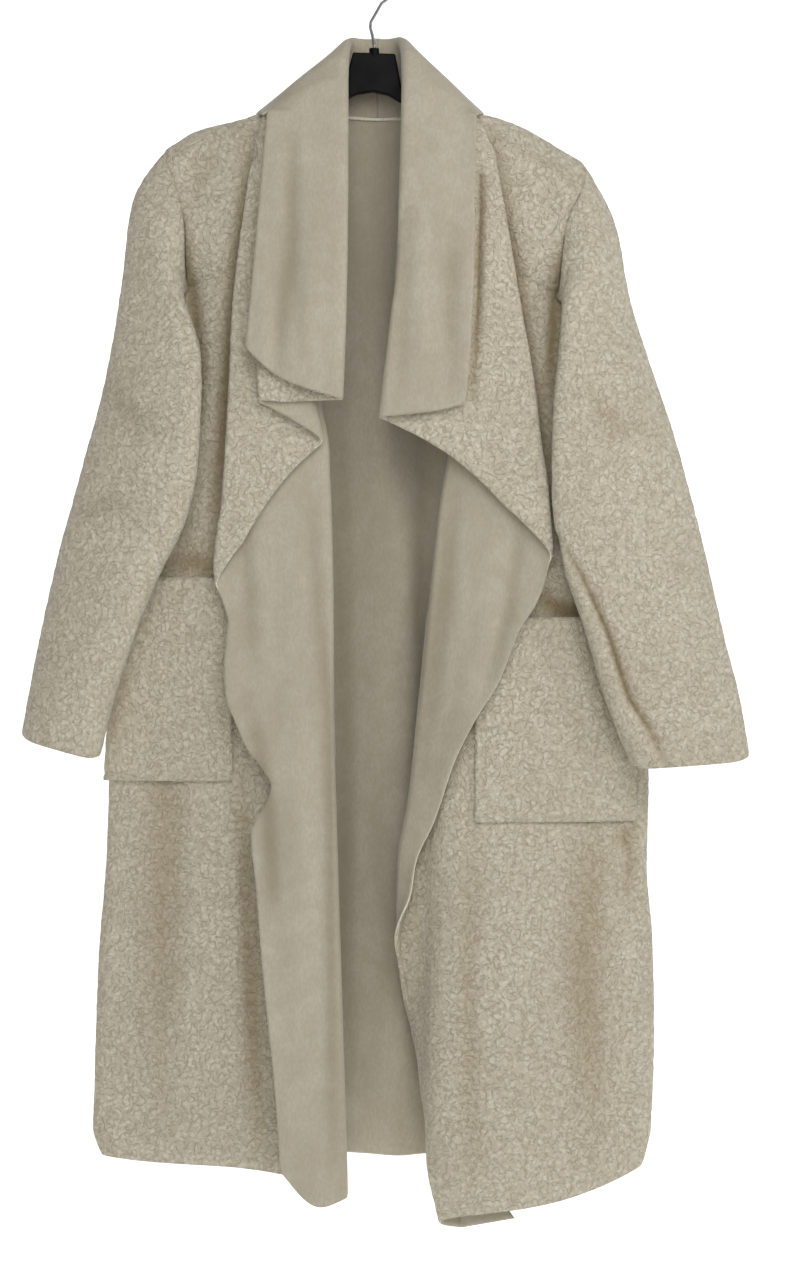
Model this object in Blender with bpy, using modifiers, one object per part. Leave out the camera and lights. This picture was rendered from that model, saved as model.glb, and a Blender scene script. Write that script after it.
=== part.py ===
"""Open-front waterfall coat of double-faced cloth, hung on a plastic hanger.

Frame: metres, +Z up. The front of the coat faces -Y and the wearer's left side is +X.
Origin: the inside top of the hanger's hook, where a rail carries it.

Every piece of cloth is one sheet of points, a grid of rows down the garment and of
controls along each row, given a wall by Solidify. The tables are in millimetres. They
give x (to the wearer's left), y (to the back) and drop (down from the rail).
"""
import math
from collections import namedtuple

import bmesh
import bpy
import numpy as np
from mathutils import Vector

MM = 0.001

# Cloth and seams
CLOTH = 3.0
LAY_GAP = 0.3

# Rows of a front: the collar above the neck point, then the front down to the hem
COLLAR_ROWS = 6
ROW_ARMPIT = 6
ROW_FAN = 12
ROW_HEM = 26
PACE_ARMPIT = 0.30

# Fold and wrap sizes
NEAR_FOLD = 10.0
SIDE_FOLD_HALF = 9.0
BODY_FRACTIONS = (0.14, 0.34, 0.56, 0.80)

# Patch pocket
POCKET_WIDTH = 166.0
POCKET_HEIGHT = 205.0
POCKET_COLUMNS = 14
POCKET_ROWS = 8
POCKET_BULGE = 2.0
POCKET_SLACK = 0.6
FOLD_SLACK = 1.6
FOLD_REACH = 18.0

# Sleeve
SLEEVE_RINGS = 16

# Hanger
PLATE_THICK = 9.0
WIRE = 3.4
HOOK_RADIUS = 20.0
BOSS_RADIUS = 5.0
BOSS_HEIGHT = 5.0
BORE_DEPTH = 12.0
BORE_CLEARANCE = 0.3

CENTRE_BACK_X = 6.0
CENTRE_SEAM_HALF = 0.5
BACK_INSET = 1.2
SHOULDER_INSET = 2.0
SLEEVE_INSET = 2.8

FoldRow = namedtuple("FoldRow", "drop x arrives leaves")
LineRow = namedtuple("LineRow", "drop x y")
Place = namedtuple("Place", "x y drop")
CollarRow = namedtuple("CollarRow", "reach y drop")
RingRow = namedtuple("RingRow", "x_out drop_out x_in drop_in y_mid half_depth lean")
HemRow = namedtuple("HemRow", "side_seam side_fold b1 b2 b3 b4")

# ---------------------------------------------------------------------------
# Wearer's right front (-X): four folds fan out from the neck point, then the roll line.
# Each fold has its x, the y of the layer that arrives and of the layer that leaves it.
# Below the fan, fold_2 goes on as the free edge of the long flap.

RIGHT_FOLDS = {
    "fold_1": (
        FoldRow(158, -109, -14, -16), FoldRow(190, -113, -18, -22), FoldRow(230, -108, -22, -28),
        FoldRow(300, -88, -26, -34), FoldRow(360, -72, -28, -37), FoldRow(445, -51, -29, -38),
        FoldRow(545, -41, -30, -40), FoldRow(745, -36, -30, -46), FoldRow(1045, -29, -32, -52),
        FoldRow(1241, -24, -32, -50)),
    "fold_2": (
        FoldRow(158, -109, -18, -20), FoldRow(190, -117, -25, -28), FoldRow(230, -123, -31, -36),
        FoldRow(355, -138, -38, -46), FoldRow(445, -142, -40, -48), FoldRow(545, -148, -42, -50),
        FoldRow(605, -155, -44, -52), FoldRow(635, -152, -46, -54), FoldRow(667, -143, -50, -56),
        FoldRow(710, -146, -56, -62), FoldRow(740, -144, -60, -66), FoldRow(765, -135, -62, -68),
        FoldRow(792, -122, -60, -66), FoldRow(810, -116, -57, -63), FoldRow(864, -118, -56, -62),
        FoldRow(995, -109, -60, -66), FoldRow(1055, -103, -62, -68), FoldRow(1135, -95, -62, -68),
        FoldRow(1213, -90, -58, -64)),
    "fold_3": (
        FoldRow(158, -109, -22, -24), FoldRow(190, -113, -31, -34), FoldRow(230, -108, -39, -44),
        FoldRow(300, -88, -45, -52), FoldRow(360, -74, -48, -56), FoldRow(488, -49, -49, -57)),
    "fold_4": (
        FoldRow(158, -109, -26, -28), FoldRow(190, -109, -37, -40), FoldRow(230, -107, -47, -52),
        FoldRow(300, -109, -54, -61), FoldRow(380, -112, -57, -64), FoldRow(450, -113, -58, -65)),
    "roll": (
        FoldRow(158, -23, -37, -46), FoldRow(225, -23, -52, -62), FoldRow(300, -24, -62, -71),
        FoldRow(370, -26, -65, -73), FoldRow(447, -29, -66, -74)),
    "edge": (
        FoldRow(157, -104, -42, -42), FoldRow(225, -109, -59, -59), FoldRow(300, -115, -68, -68),
        FoldRow(345, -119, -71, -71), FoldRow(396, -124, -73, -73)),
}
RIGHT_LINES = {
    "side_fold": (
        LineRow(330, -190, -9), LineRow(345, -202, -9), LineRow(360, -205, -9),
        LineRow(420, -206, -9), LineRow(560, -226, -9),
        LineRow(807, -265, -9), LineRow(900, -268, -9), LineRow(1009, -276, -9),
        LineRow(1149, -281, -9), LineRow(1180, -282, -9), LineRow(1206, -274, -9)),
    "armhole": (
        LineRow(203, -207, -14), LineRow(249, -191, -24), LineRow(279, -187, -26),
        LineRow(306, -187, -21), LineRow(330, -190, -9)),
    "side_wrap": (LineRow(330, 2, 9), LineRow(480, 26, 13), LineRow(620, 60, 14), LineRow(1208, 62, 16)),
}
RIGHT_HEM = HemRow(1208, 1206, 1211, 1212, 1214, 1224)
RIGHT_SHOULDER = (Place(-109, -14, 158), Place(-133, -13, 166), Place(-174, -13, 179), Place(-207, -14, 203))
RIGHT_RIDGE = (Place(-111, -2, 152), Place(-133, 0, 159), Place(-174, 0, 169), Place(-210, -2, 191))
RIGHT_BACK_ARMHOLE = (
    Place(-207, -14, 203), Place(-210, -2, 191), Place(-208, 10, 203), Place(-202, 15, 235),
    Place(-196, 18, 268), Place(-191, 18, 301), Place(-188, 9, 330))

# ---------------------------------------------------------------------------
# Wearer's left front (+X): two folds fan out from the neck point, then the roll line.
# Lower down the front turns back at a ridge, and its extension swings behind it.

LEFT_FOLDS = {
    "fold_1": (
        FoldRow(160, 106, -18, -21), FoldRow(200, 104, -22, -29), FoldRow(300, 94, -29, -37),
        FoldRow(495, 79, -31, -40), FoldRow(545, 70, -31, -41), FoldRow(645, 59, -30, -41),
        FoldRow(745, 49, -27, -39), FoldRow(845, 38, -20, -34), FoldRow(905, 28, -13, -26),
        FoldRow(951, 27, -6, -17), FoldRow(999, 29, 1, -8), FoldRow(1046, 38, 4, 3),
        FoldRow(1094, 45, 4, 7), FoldRow(1141, 50, 6, 10), FoldRow(1189, 58, 12, 15),
        FoldRow(1236, 72, 12, 13), FoldRow(1283, 92, 8, 9)),
    "fold_2": (
        FoldRow(160, 107, -25, -29), FoldRow(196, 123, -31, -37), FoldRow(231, 129, -34, -41),
        FoldRow(278, 137, -38, -45), FoldRow(349, 149, -40, -48), FoldRow(431, 163, -42, -50),
        FoldRow(485, 169, -43, -52), FoldRow(545, 177, -45, -54), FoldRow(605, 179, -47, -56),
        FoldRow(645, 167, -52, -58), FoldRow(675, 148, -54, -60), FoldRow(725, 128, -56, -62),
        FoldRow(765, 104, -58, -64), FoldRow(805, 84, -60, -66), FoldRow(867, 63, -48, -54),
        FoldRow(905, 46, -38, -44), FoldRow(939, 40, -34, -40), FoldRow(987, 25, -21, -24),
        FoldRow(1035, 30, 4, 4), FoldRow(1083, 41, 18, 18), FoldRow(1131, 53, 25, 25),
        FoldRow(1178, 74, 28, 28), FoldRow(1226, 110, 22, 22), FoldRow(1274, 146, 10, 10)),
    "roll": (
        FoldRow(160, 31, -33, -42), FoldRow(225, 29, -43, -53), FoldRow(295, 27, -50, -60),
        FoldRow(375, 19, -55, -65), FoldRow(464, 9, -57, -66)),
    "edge": (
        FoldRow(159, 106, -38, -38), FoldRow(225, 104, -51, -51), FoldRow(305, 103, -59, -59),
        FoldRow(395, 99, -64, -64), FoldRow(450, 94, -66, -66)),
}
LEFT_LINES = {
    "side_fold": (
        LineRow(338, 192, -9), LineRow(358, 201, -9), LineRow(430, 211, -9), LineRow(560, 233, -9),
        LineRow(825, 280, -9), LineRow(915, 278, -9), LineRow(993, 284, -9),
        LineRow(1087, 286, -9), LineRow(1179, 283, -9), LineRow(1216, 275, -9)),
    "armhole": (
        LineRow(233, 212, -20), LineRow(262, 197, -26), LineRow(295, 192, -27),
        LineRow(318, 190, -21), LineRow(338, 192, -9)),
    "side_wrap": (LineRow(338, 2, 9), LineRow(480, 12, 12), LineRow(1217, 18, 13)),
    "ridge": (
        LineRow(160, 107, -14), LineRow(200, 112, -18), LineRow(300, 108, -26),
        LineRow(495, 100, -31), LineRow(645, 90, -33), LineRow(745, 80, -37),
        LineRow(805, 75, -45), LineRow(866, 71, -49), LineRow(989, 66, -50),
        LineRow(1111, 60, -52), LineRow(1203, 58, -50), LineRow(1262, 67, -46)),
    "strip": (
        LineRow(160, 106, -15), LineRow(200, 106, -20), LineRow(300, 99, -27),
        LineRow(495, 88, -30), LineRow(645, 74, -30), LineRow(745, 64, -28),
        LineRow(805, 62, -25), LineRow(866, 59, -21), LineRow(989, 57, -14),
        LineRow(1111, 54, -14), LineRow(1203, 54, -14), LineRow(1275, 68, -16)),
}
LEFT_HEM = HemRow(1217, 1216, 1231, 1243, 1255, 1262)
LEFT_SHOULDER = (
    Place(107, -14, 160), Place(125, -15, 173), Place(157, -17, 195), Place(194, -19, 216),
    Place(212, -20, 233))
LEFT_RIDGE = (
    Place(109, -2, 153), Place(120, 0, 156), Place(138, 0, 160), Place(183, 0, 183), Place(214, -2, 202))
LEFT_BACK_ARMHOLE = (
    Place(212, -20, 233), Place(216, -2, 203), Place(214, 11, 214), Place(208, 16, 245),
    Place(202, 19, 277), Place(196, 18, 309), Place(190, 9, 338))

# ---------------------------------------------------------------------------
# Grown-on collar, from the neck point (first row) to the centre back (last row).
# reach is the part of the way in x from the centre back to the neck point.

COLLAR = {
    "seam": (
        CollarRow(0.97, -4, 153), CollarRow(0.90, 9, 151), CollarRow(0.74, 19, 150),
        CollarRow(0.51, 25, 150), CollarRow(0.26, 27, 151), CollarRow(0.0, 27, 151)),
    "stand": (
        CollarRow(0.62, -21, 146), CollarRow(0.56, -2, 129), CollarRow(0.46, 13, 121),
        CollarRow(0.33, 22, 116), CollarRow(0.17, 26, 113), CollarRow(0.0, 27, 112)),
    "roll_in": (
        CollarRow(0.25, -27, 123), CollarRow(0.24, -12, 98), CollarRow(0.23, 4, 83),
        CollarRow(0.19, 17, 76), CollarRow(0.10, 25, 74), CollarRow(0.0, 27, 73)),
    "roll_out": (
        CollarRow(0.27, -35, 119), CollarRow(0.27, -17, 89), CollarRow(0.26, 5, 73),
        CollarRow(0.20, 23, 67), CollarRow(0.10, 34, 66), CollarRow(0.0, 38, 65)),
    "fall": (
        CollarRow(0.66, -37, 136), CollarRow(0.61, -18, 112), CollarRow(0.59, 5, 108),
        CollarRow(0.50, 28, 112), CollarRow(0.26, 39, 118), CollarRow(0.0, 43, 120)),
    "edge": (
        CollarRow(1.02, -29, 152), CollarRow(1.07, -14, 150), CollarRow(1.11, 4, 151),
        CollarRow(0.98, 28, 168), CollarRow(0.54, 40, 179), CollarRow(0.0, 44, 182)),
}

# ---------------------------------------------------------------------------
# Sleeves: the outer and inner ends of each ring, armhole to cuff.
# lean is how far the inner end stands forward of the middle.

RIGHT_SLEEVE = (
    RingRow(-240, 240, -211, 337, -11, 24, 7), RingRow(-251, 322, -178, 390, -25, 20, 20),
    RingRow(-260, 384, -170, 424, -34, 20, 22), RingRow(-272, 444, -171, 472, -38, 22, 22),
    RingRow(-285, 494, -175, 522, -39, 24, 20), RingRow(-298, 544, -187, 570, -38, 25, 18),
    RingRow(-311, 592, -211, 618, -37, 26, 16), RingRow(-322, 640, -231, 666, -37, 26, 14),
    RingRow(-333, 692, -248, 716, -38, 26, 12), RingRow(-342, 740, -262, 762, -39, 26, 10),
    RingRow(-349, 784, -271, 805, -40, 26, 8))
LEFT_SLEEVE = (
    RingRow(245, 262, 212, 343, -12, 23, 8), RingRow(260, 340, 188, 400, -26, 18, 22),
    RingRow(279, 405, 183, 446, -36, 18, 22), RingRow(303, 475, 181, 506, -38, 18, 22),
    RingRow(320, 535, 183, 563, -38, 18, 20), RingRow(334, 590, 195, 614, -38, 19, 18),
    RingRow(345, 640, 211, 658, -38, 20, 16), RingRow(356, 690, 224, 700, -38, 20, 14),
    RingRow(366, 730, 236, 740, -39, 21, 12), RingRow(373, 768, 249, 778, -40, 21, 10),
    RingRow(378, 806, 262, 814, -40, 21, 8))

# ---------------------------------------------------------------------------
# Hanger: the outline of one half from the middle of the plate, top then bottom.

PLATE_TOP = ((0, 90), (21.5, 90), (29, 124), (60, 148), (104, 170), (135, 174), (172, 182), (186, 191))
PLATE_BOTTOM = ((188, 199), (176, 204), (135, 197), (100, 190), (60, 168), (36, 143), (16, 132), (0, 129))
PLATE_X = 2.8
HANGER_TILT = math.radians(2.0)


# ---------------------------------------------------------------------------
# Curves and tables

def smooth(rows, key):
    """Reads a table at a drop by a cubic that keeps the table's rises and falls."""
    table = np.array([tuple(row) for row in rows], dtype=float)
    along, values = table[:, 0], table[:, 1:]
    if key <= along[0]:
        return values[0]
    if key >= along[-1]:
        return values[-1]
    steps = np.diff(along)[:, None]
    slopes = np.diff(values, axis=0) / steps
    tangents = np.empty_like(values)
    tangents[0], tangents[-1] = slopes[0], slopes[-1]
    product = slopes[:-1] * slopes[1:]
    total = slopes[:-1] + slopes[1:]
    safe = np.where(product > 0, total, 1.0)
    tangents[1:-1] = np.where(product > 0, 2.0 * product / safe, 0.0)
    i = int(np.searchsorted(along, key) - 1)
    h = along[i + 1] - along[i]
    s = (key - along[i]) / h
    blend = (2 * s**3 - 3 * s**2 + 1, s**3 - 2 * s**2 + s, 3 * s**2 - 2 * s**3, s**3 - s**2)
    return (blend[0] * values[i] + blend[1] * h * tangents[i]
            + blend[2] * values[i + 1] + blend[3] * h * tangents[i + 1])


def along_path(places, fraction):
    """Returns the point at a fraction of the way along a short path of places."""
    points = np.array([tuple(place) for place in places], dtype=float)
    lengths = np.r_[0.0, np.cumsum(np.linalg.norm(np.diff(points, axis=0), axis=1))]
    key = fraction * lengths[-1]
    return smooth([(length, *point) for length, point in zip(lengths, points)], key)


def mix(a, b, amount):
    """Returns the point at a part of the way from a to b."""
    return a + (b - a) * amount


def ease(amount):
    """Returns a soft step from 0 to 1."""
    amount = min(1.0, max(0.0, amount))
    return amount * amount * (3.0 - 2.0 * amount)


def spline_point(controls, t):
    """Returns a point of the cubic B-spline that starts and ends on its end controls."""
    count = len(controls)
    i = min(int(t), count - 2)
    s = t - i

    def control(index):
        if index < 0:
            return 2.0 * controls[0] - controls[1]
        if index >= count:
            return 2.0 * controls[-1] - controls[-2]
        return controls[index]

    weights = ((1 - s)**3 / 6, (3 * s**3 - 6 * s**2 + 4) / 6,
               (-3 * s**3 + 3 * s**2 + 3 * s + 1) / 6, s**3 / 6)
    return sum(weight * control(i + offset) for weight, offset in zip(weights, (-1, 0, 1, 2)))


# ---------------------------------------------------------------------------
# Fronts

class Front:
    """One front with its extension and half of the collar, as rows of spline controls."""

    def __init__(self, folds, lines, hem, shoulder, fan, rises, side):
        self.folds = folds
        self.lines = lines
        self.hem = hem
        self.shoulder = shoulder
        self.fan = fan
        self.rises = rises
        self.side = side
        self.names = self.control_names()
        self.wrap_start = self.names.index("seam")
        self.armhole_column = self.names.index("side_fold")
        self.flap_column = self.names.index("fold_2 in")
        self.collar_column = self.names.index(self.fan[-1] + " out")

    def control_names(self):
        """Names the controls of a full row, from the side seam to the free edge."""
        names = ["seam", "wrap", "side_back", "side_fold", "b1", "b2", "b3"]
        names += ["ridge", "strip"] if "ridge" in self.lines else ["b4"]
        for first, second in zip((None,) + self.fan, self.fan + ("roll",)):
            if first:
                names += [first + " in", first + " out", first + " after", "to " + second]
            names += [second + " before"]
        return names + ["roll in", "roll out", "roll after", "lapel 1", "lapel 2", "edge"]

    def pace(self, row):
        """Returns how far down the fan a row lies, from 0 at the neck to 1 at its end."""
        if row <= ROW_ARMPIT:
            return PACE_ARMPIT * row / ROW_ARMPIT
        return PACE_ARMPIT + (1.0 - PACE_ARMPIT) * (row - ROW_ARMPIT) / (ROW_FAN - ROW_ARMPIT)

    def drop_on(self, top, fan_end, bottom, row):
        """Returns the drop of a row on a line with a top, a place at the fan's end and a bottom."""
        if row <= ROW_FAN:
            return top + (fan_end - top) * self.pace(row)
        return fan_end + (bottom - fan_end) * (row - ROW_FAN) / (ROW_HEM - ROW_FAN)

    def side_drop(self, row):
        """Returns the drop of a row at the side, which passes the armpit at its own row."""
        top, armpit = self.lines["armhole"][0].drop, self.lines["armhole"][-1].drop
        if row <= ROW_ARMPIT:
            return top + (armpit - top) * row / ROW_ARMPIT
        fan_end = 620.0
        if row <= ROW_FAN:
            return armpit + (fan_end - armpit) * (row - ROW_ARMPIT) / (ROW_FAN - ROW_ARMPIT)
        return fan_end + (self.hem.side_seam - fan_end) * (row - ROW_FAN) / (ROW_HEM - ROW_FAN)

    def fold_point(self, name, row, leaves):
        """Returns a fold's point at a row, on the layer that arrives or the one that leaves."""
        table = self.folds[name]
        fan_end = {"fold_1": 620.0, "fold_2": 635.0 if self.side < 0 else 605.0}.get(name, table[-1].drop)
        drop = self.drop_on(table[0].drop, fan_end, table[-1].drop, row)
        x, arrives, leaving = smooth(table, drop)
        return np.array((x, leaving if leaves else arrives, drop))

    def line_point(self, name, row):
        """Returns a point of a body line that runs from the neck point to the hem."""
        table = self.lines[name]
        drop = self.drop_on(table[0].drop, 620.0, table[-1].drop, row)
        x, y = smooth(table, drop)
        return np.array((x, y, drop))

    def side_points(self, row):
        """Returns the controls round the side, from the side seam to the front of the fold."""
        drop = self.side_drop(row)
        if row < ROW_ARMPIT:
            x, y = smooth(self.lines["armhole"], drop)
            return [np.array((x, y, drop))] * 4
        fold_drop = drop + (self.hem.side_fold - self.hem.side_seam) * ease((row - ROW_FAN) / (ROW_HEM - ROW_FAN))
        x, _ = smooth(self.lines["side_fold"], fold_drop)
        wrap, seam_y = smooth(self.lines["side_wrap"], drop)
        inward = -self.side
        return [np.array((x + inward * wrap, seam_y, drop)),
                np.array((x + inward * wrap * 0.5, seam_y - 1.0, drop)),
                np.array((x, SIDE_FOLD_HALF, fold_drop)),
                np.array((x, -SIDE_FOLD_HALF, fold_drop))]

    def body_points(self, row, start, end):
        """Returns the controls between the side and the first fold or ridge."""
        points = []
        depth = ease((row - ROW_ARMPIT) / (ROW_HEM - ROW_ARMPIT))
        hems = (self.hem.b1, self.hem.b2, self.hem.b3, self.hem.b4)
        last_rows = max(0.0, (row - ROW_FAN) / (ROW_HEM - ROW_FAN))
        for fraction, hem_drop in zip(BODY_FRACTIONS, hems):
            point = mix(start, end, fraction)
            point[1] = start[1] + (end[1] - start[1]) * (1.0 - (1.0 - fraction)**2.2)
            point[1] += 6.0 * depth * math.sin(2.0 * math.pi * (1.6 * fraction + 0.15))
            plain_hem = mix(start[2], end[2], fraction)
            at_hem = self.hem.side_fold + (end[2] - self.hem.side_fold) * fraction
            if row > ROW_FAN:
                point[2] = plain_hem + (hem_drop - self.bottom_mix(fraction)) * last_rows**2
            if row == 0:
                point = along_path(self.shoulder[::-1], fraction)
            elif row < 3:
                shoulder = along_path(self.shoulder[::-1], fraction)
                point[1] = mix(shoulder[1], point[1], row / 3.0)
            points.append(point)
        return points

    def bottom_mix(self, fraction):
        """Returns the hem's drop on a straight line from the side fold to the front."""
        last = self.lines["ridge"][-1] if "ridge" in self.lines else self.folds["fold_1"][-1]
        return self.hem.side_fold + (last.drop - self.hem.side_fold) * fraction

    def controls(self, row):
        """Returns every control of a full row at or below the neck point."""
        sides = self.side_points(row)
        points = dict(zip(("seam", "wrap", "side_back", "side_fold"), sides))
        if "ridge" in self.lines:
            ridge, strip = self.line_point("ridge", row), self.line_point("strip", row)
            body = self.body_points(row, sides[3], ridge)
            points.update(b1=body[0], b2=body[1], b3=body[2], ridge=ridge, strip=strip)
        else:
            body = self.body_points(row, sides[3], self.fold_point("fold_1", row, False))
            points.update(b1=body[0], b2=body[1], b3=body[2], b4=body[3])
        fan_row = min(row, ROW_FAN)
        previous = body[3] if "ridge" not in self.lines else points["strip"]
        for first, second in zip((None,) + self.fan, self.fan + ("roll",)):
            own_row = row if second in ("fold_1", "fold_2") else fan_row
            arrive = self.fold_point(second, own_row, False)
            if first:
                first_row = row if first in ("fold_1", "fold_2") else fan_row
                reach = self.fold_point(first, first_row, True)
                middle = mix(reach, arrive, 0.5)
                rise = self.rises.get(second, 0.0) * self.pace(fan_row)**3
                middle[2] -= rise
                points[first + " in"] = self.fold_point(first, first_row, False)
                points[first + " out"] = reach
                points[first + " after"] = self.near(reach, middle)
                points["to " + second] = middle
                previous = middle
            points[second + " before"] = self.near(arrive, previous)
        points["roll in"] = arrive
        points["roll out"] = self.fold_point("roll", fan_row, True)
        edge = self.fold_point("edge", fan_row, True)
        droop = self.rises.get("edge", 0.0) * self.pace(fan_row)**3
        points["lapel 1"] = mix(points["roll out"], edge, 0.36)
        points["lapel 2"] = mix(points["roll out"], edge, 0.70)
        points["lapel 1"][2] += droop * 0.6
        points["lapel 2"][2] += droop
        points["lapel 1"][1] -= 2.5 * self.pace(fan_row)
        points["roll after"] = self.near(points["roll out"], points["lapel 1"])
        points["edge"] = edge
        return points

    def near(self, fold, towards):
        """Returns the control that keeps a fold tight, a short way back along its layer."""
        length = np.linalg.norm(towards - fold)
        return mix(fold, towards, min(0.4, NEAR_FOLD / max(length, 1e-6)))

    def collar_place(self, line, station):
        """Returns a collar line's point at a station above the neck point."""
        neck = self.shoulder[0]
        row = COLLAR[line]
        key = min(station, COLLAR_ROWS) - 1.0
        reach, y, drop = smooth([(i, *values) for i, values in enumerate(row)], key)
        start = CENTRE_BACK_X + self.side * CENTRE_SEAM_HALF
        return np.array((start + (neck.x - start) * reach, y, drop))

    def collar_controls(self, row):
        """Returns the controls of a collar row, from the neck seam to the free edge."""
        station = -row
        if station >= 1.0:
            place = {line: self.collar_place(line, station) for line in COLLAR}
        else:
            base = self.controls(0)
            there = {line: self.collar_place(line, 1.0) for line in COLLAR}
            last = self.fan[-1]
            here = {"seam": base[last + " out"], "stand": base["to roll"], "roll_in": base["roll in"],
                    "roll_out": base["roll out"], "edge": base["edge"],
                    "fall": mix(base["roll out"], base["edge"], 0.5)}
            place = {line: mix(here[line], there[line], station) for line in COLLAR}
        points = {self.fan[-1] + " out": place["seam"], "to roll": place["stand"],
                  "roll in": place["roll_in"], "roll out": place["roll_out"], "edge": place["edge"]}
        points[self.fan[-1] + " after"] = self.near(place["seam"], place["stand"])
        points["roll before"] = self.near(place["roll_in"], place["stand"])
        for name, f in (("lapel 1", 0.36), ("lapel 2", 0.70)):
            weights = ((1 - f) * (1 - 2 * f), 4 * f * (1 - f), f * (2 * f - 1))
            points[name] = (weights[0] * place["roll_out"] + weights[1] * place["fall"]
                            + weights[2] * place["edge"])
        points["roll after"] = self.near(place["roll_out"], points["lapel 1"])
        return points

    def row_span(self, row):
        """Returns the first and last control column that a row has."""
        first = self.armhole_column if row < ROW_ARMPIT else 0
        if row < 0:
            first = self.collar_column
        last = len(self.names) - 1 if row <= ROW_FAN else self.flap_column
        return first, last

    def row_points(self, row):
        """Returns the points of a row, one for each control, with None where it has none."""
        points = self.collar_controls(row) if row < 0 else self.controls(row)
        first, last = self.row_span(row)
        chain = [points[name] for name in self.names[first:last + 1]]
        cells = [None] * len(self.names)
        for column in range(first, last + 1):
            cells[column] = spline_point(chain, column - first)
        return cells

    def body_section(self, row, samples=60):
        """Returns points of a row from the side seam to the first fold, for what lies on it."""
        points = self.controls(row)
        stop = self.names.index("fold_1 in")
        chain = [points[name] for name in self.names[:stop + 1]]
        return np.array([spline_point(chain, t) for t in np.linspace(0, stop, samples)])

    def grid(self):
        """Returns all rows, from the centre back of the collar to the hem."""
        return [self.row_points(row) for row in range(-COLLAR_ROWS, ROW_HEM + 1)]


# ---------------------------------------------------------------------------
# Back

class Back:
    """The back panel, carried over the shoulders to the front shoulder seams."""

    def __init__(self, right, left):
        self.right = right
        self.left = left
        self.columns = self.column_places()

    def column_places(self):
        """Returns, for each column, its seam point and its share of shoulder and side."""
        columns = []
        for front, ridge, order in ((self.right, RIGHT_RIDGE, 1), (self.left, LEFT_RIDGE, -1)):
            half = []
            for fraction in (0.0,) + BODY_FRACTIONS + (1.0,):
                seam = along_path(front.shoulder[::-1], fraction)
                top = along_path(ridge[::-1], fraction)
                half.append((seam, top, 1.0))
            for station in range(1, COLLAR_ROWS + 1):
                seam = front.collar_place("seam", station)
                share = {1: 0.85, 2: 0.1}.get(station, 0.0)
                half.append((seam, along_path(ridge[::-1], 1.0), share))
            columns.append(half)
        return columns[0] + columns[1][-2::-1]

    def side_place(self, front, armhole, row):
        """Returns the back's own edge: the armhole, then the side seam."""
        if row <= ROW_ARMPIT:
            return smooth([(i, *place) for i, place in enumerate(armhole)], row)
        return front.side_points(row)[0]

    def hem_drop(self, share):
        """Returns the hem's drop across the back."""
        return mix(self.right.hem.side_seam, self.left.hem.side_seam, share) + 2.0 * math.sin(math.pi * share)

    def point(self, column, row):
        """Returns a point of the back."""
        seam, ridge, over = self.columns[column]
        start = self.side_place(self.right, RIGHT_BACK_ARMHOLE, row)
        end = self.side_place(self.left, LEFT_BACK_ARMHOLE, row)
        if column == 0:
            return start
        if column == len(self.columns) - 1:
            return end
        if row == 0:
            return seam
        first, last = self.columns[0][0], self.columns[-1][0]
        share = (seam[0] - first[0]) / (last[0] - first[0])
        behind = np.array((seam[0], 10.0, ridge[2] + 10.0))
        if over < 1.0:
            behind = mix(seam + np.array((0.0, 1.5, 20.0)), behind, over)
        if row == 1:
            top = ridge if over == 1.0 else mix(seam + np.array((0.0, 0.8, 10.0)), ridge, over)
            return top
        if row == 2:
            return behind
        x = start[0] + (end[0] - start[0]) * share
        level = mix(start[2], end[2], share)
        drop = level
        if row < ROW_ARMPIT:
            armpit = mix(self.right.side_drop(ROW_ARMPIT), self.left.side_drop(ROW_ARMPIT), share)
            drop = behind[2] + (armpit - behind[2]) * (row - 2) / (ROW_ARMPIT - 2)
        if row > ROW_FAN:
            drop += (self.hem_drop(share) - level) * ((row - ROW_FAN) / (ROW_HEM - ROW_FAN))**6
        y = self.depth(share, drop, start[1], end[1])
        y = mix(behind[1], y, ease((row - 2) / 4.0)) if row < ROW_ARMPIT else y
        return np.array((x, y, drop))

    def depth(self, share, drop, y_start, y_end):
        """Returns how far back the cloth hangs, with its soft vertical waves."""
        base = smooth(((160, 24), (240, 27), (330, 30), (600, 35), (900, 40), (1211, 44)), drop)[0]
        side = mix(y_start, y_end, share)
        across = 1.0 - abs(2.0 * share - 1.0)**3
        swing = smooth(((200, 0), (420, 4), (700, 6), (1211, 8)), drop)[0]
        wave = -math.cos(2.0 * math.pi * (share - 0.50) / 0.21) - 0.4 * math.sin(2.0 * math.pi * share / 0.37)
        return side + (base - side) * across + swing * wave * across

    def grid(self):
        """Returns all rows of the back, drawn in a little along its shoulders, neck and sides."""
        count = len(self.columns)
        whole = np.array([[self.point(column, row) for column in range(count)]
                          for row in range(ROW_HEM + 1)])
        drawn = whole.copy()
        for edge, inner in ((0, 1), (count - 1, count - 2)):
            step = whole[:, inner] - whole[:, edge]
            drawn[:, edge] += step / np.linalg.norm(step, axis=1)[:, None] * BACK_INSET
        step = whole[1] - whole[0]
        drawn[0] += step / np.linalg.norm(step, axis=1)[:, None] * SHOULDER_INSET
        return [list(row) for row in drawn]


# ---------------------------------------------------------------------------
# Sleeves and pockets

def armhole_ring(front, front_grid, back_grid, back_column):
    """Returns the closed armhole, from the shoulder seam down the front and up the back."""
    first = COLLAR_ROWS
    ring = [front_grid[first + row][front.armhole_column] for row in range(ROW_ARMPIT + 1)]
    ring += [front_grid[first + ROW_ARMPIT][front.armhole_column - 1]]
    ring += [back_grid[row][back_column] for row in range(ROW_ARMPIT - 1, 0, -1)]
    return np.array(ring)


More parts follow.
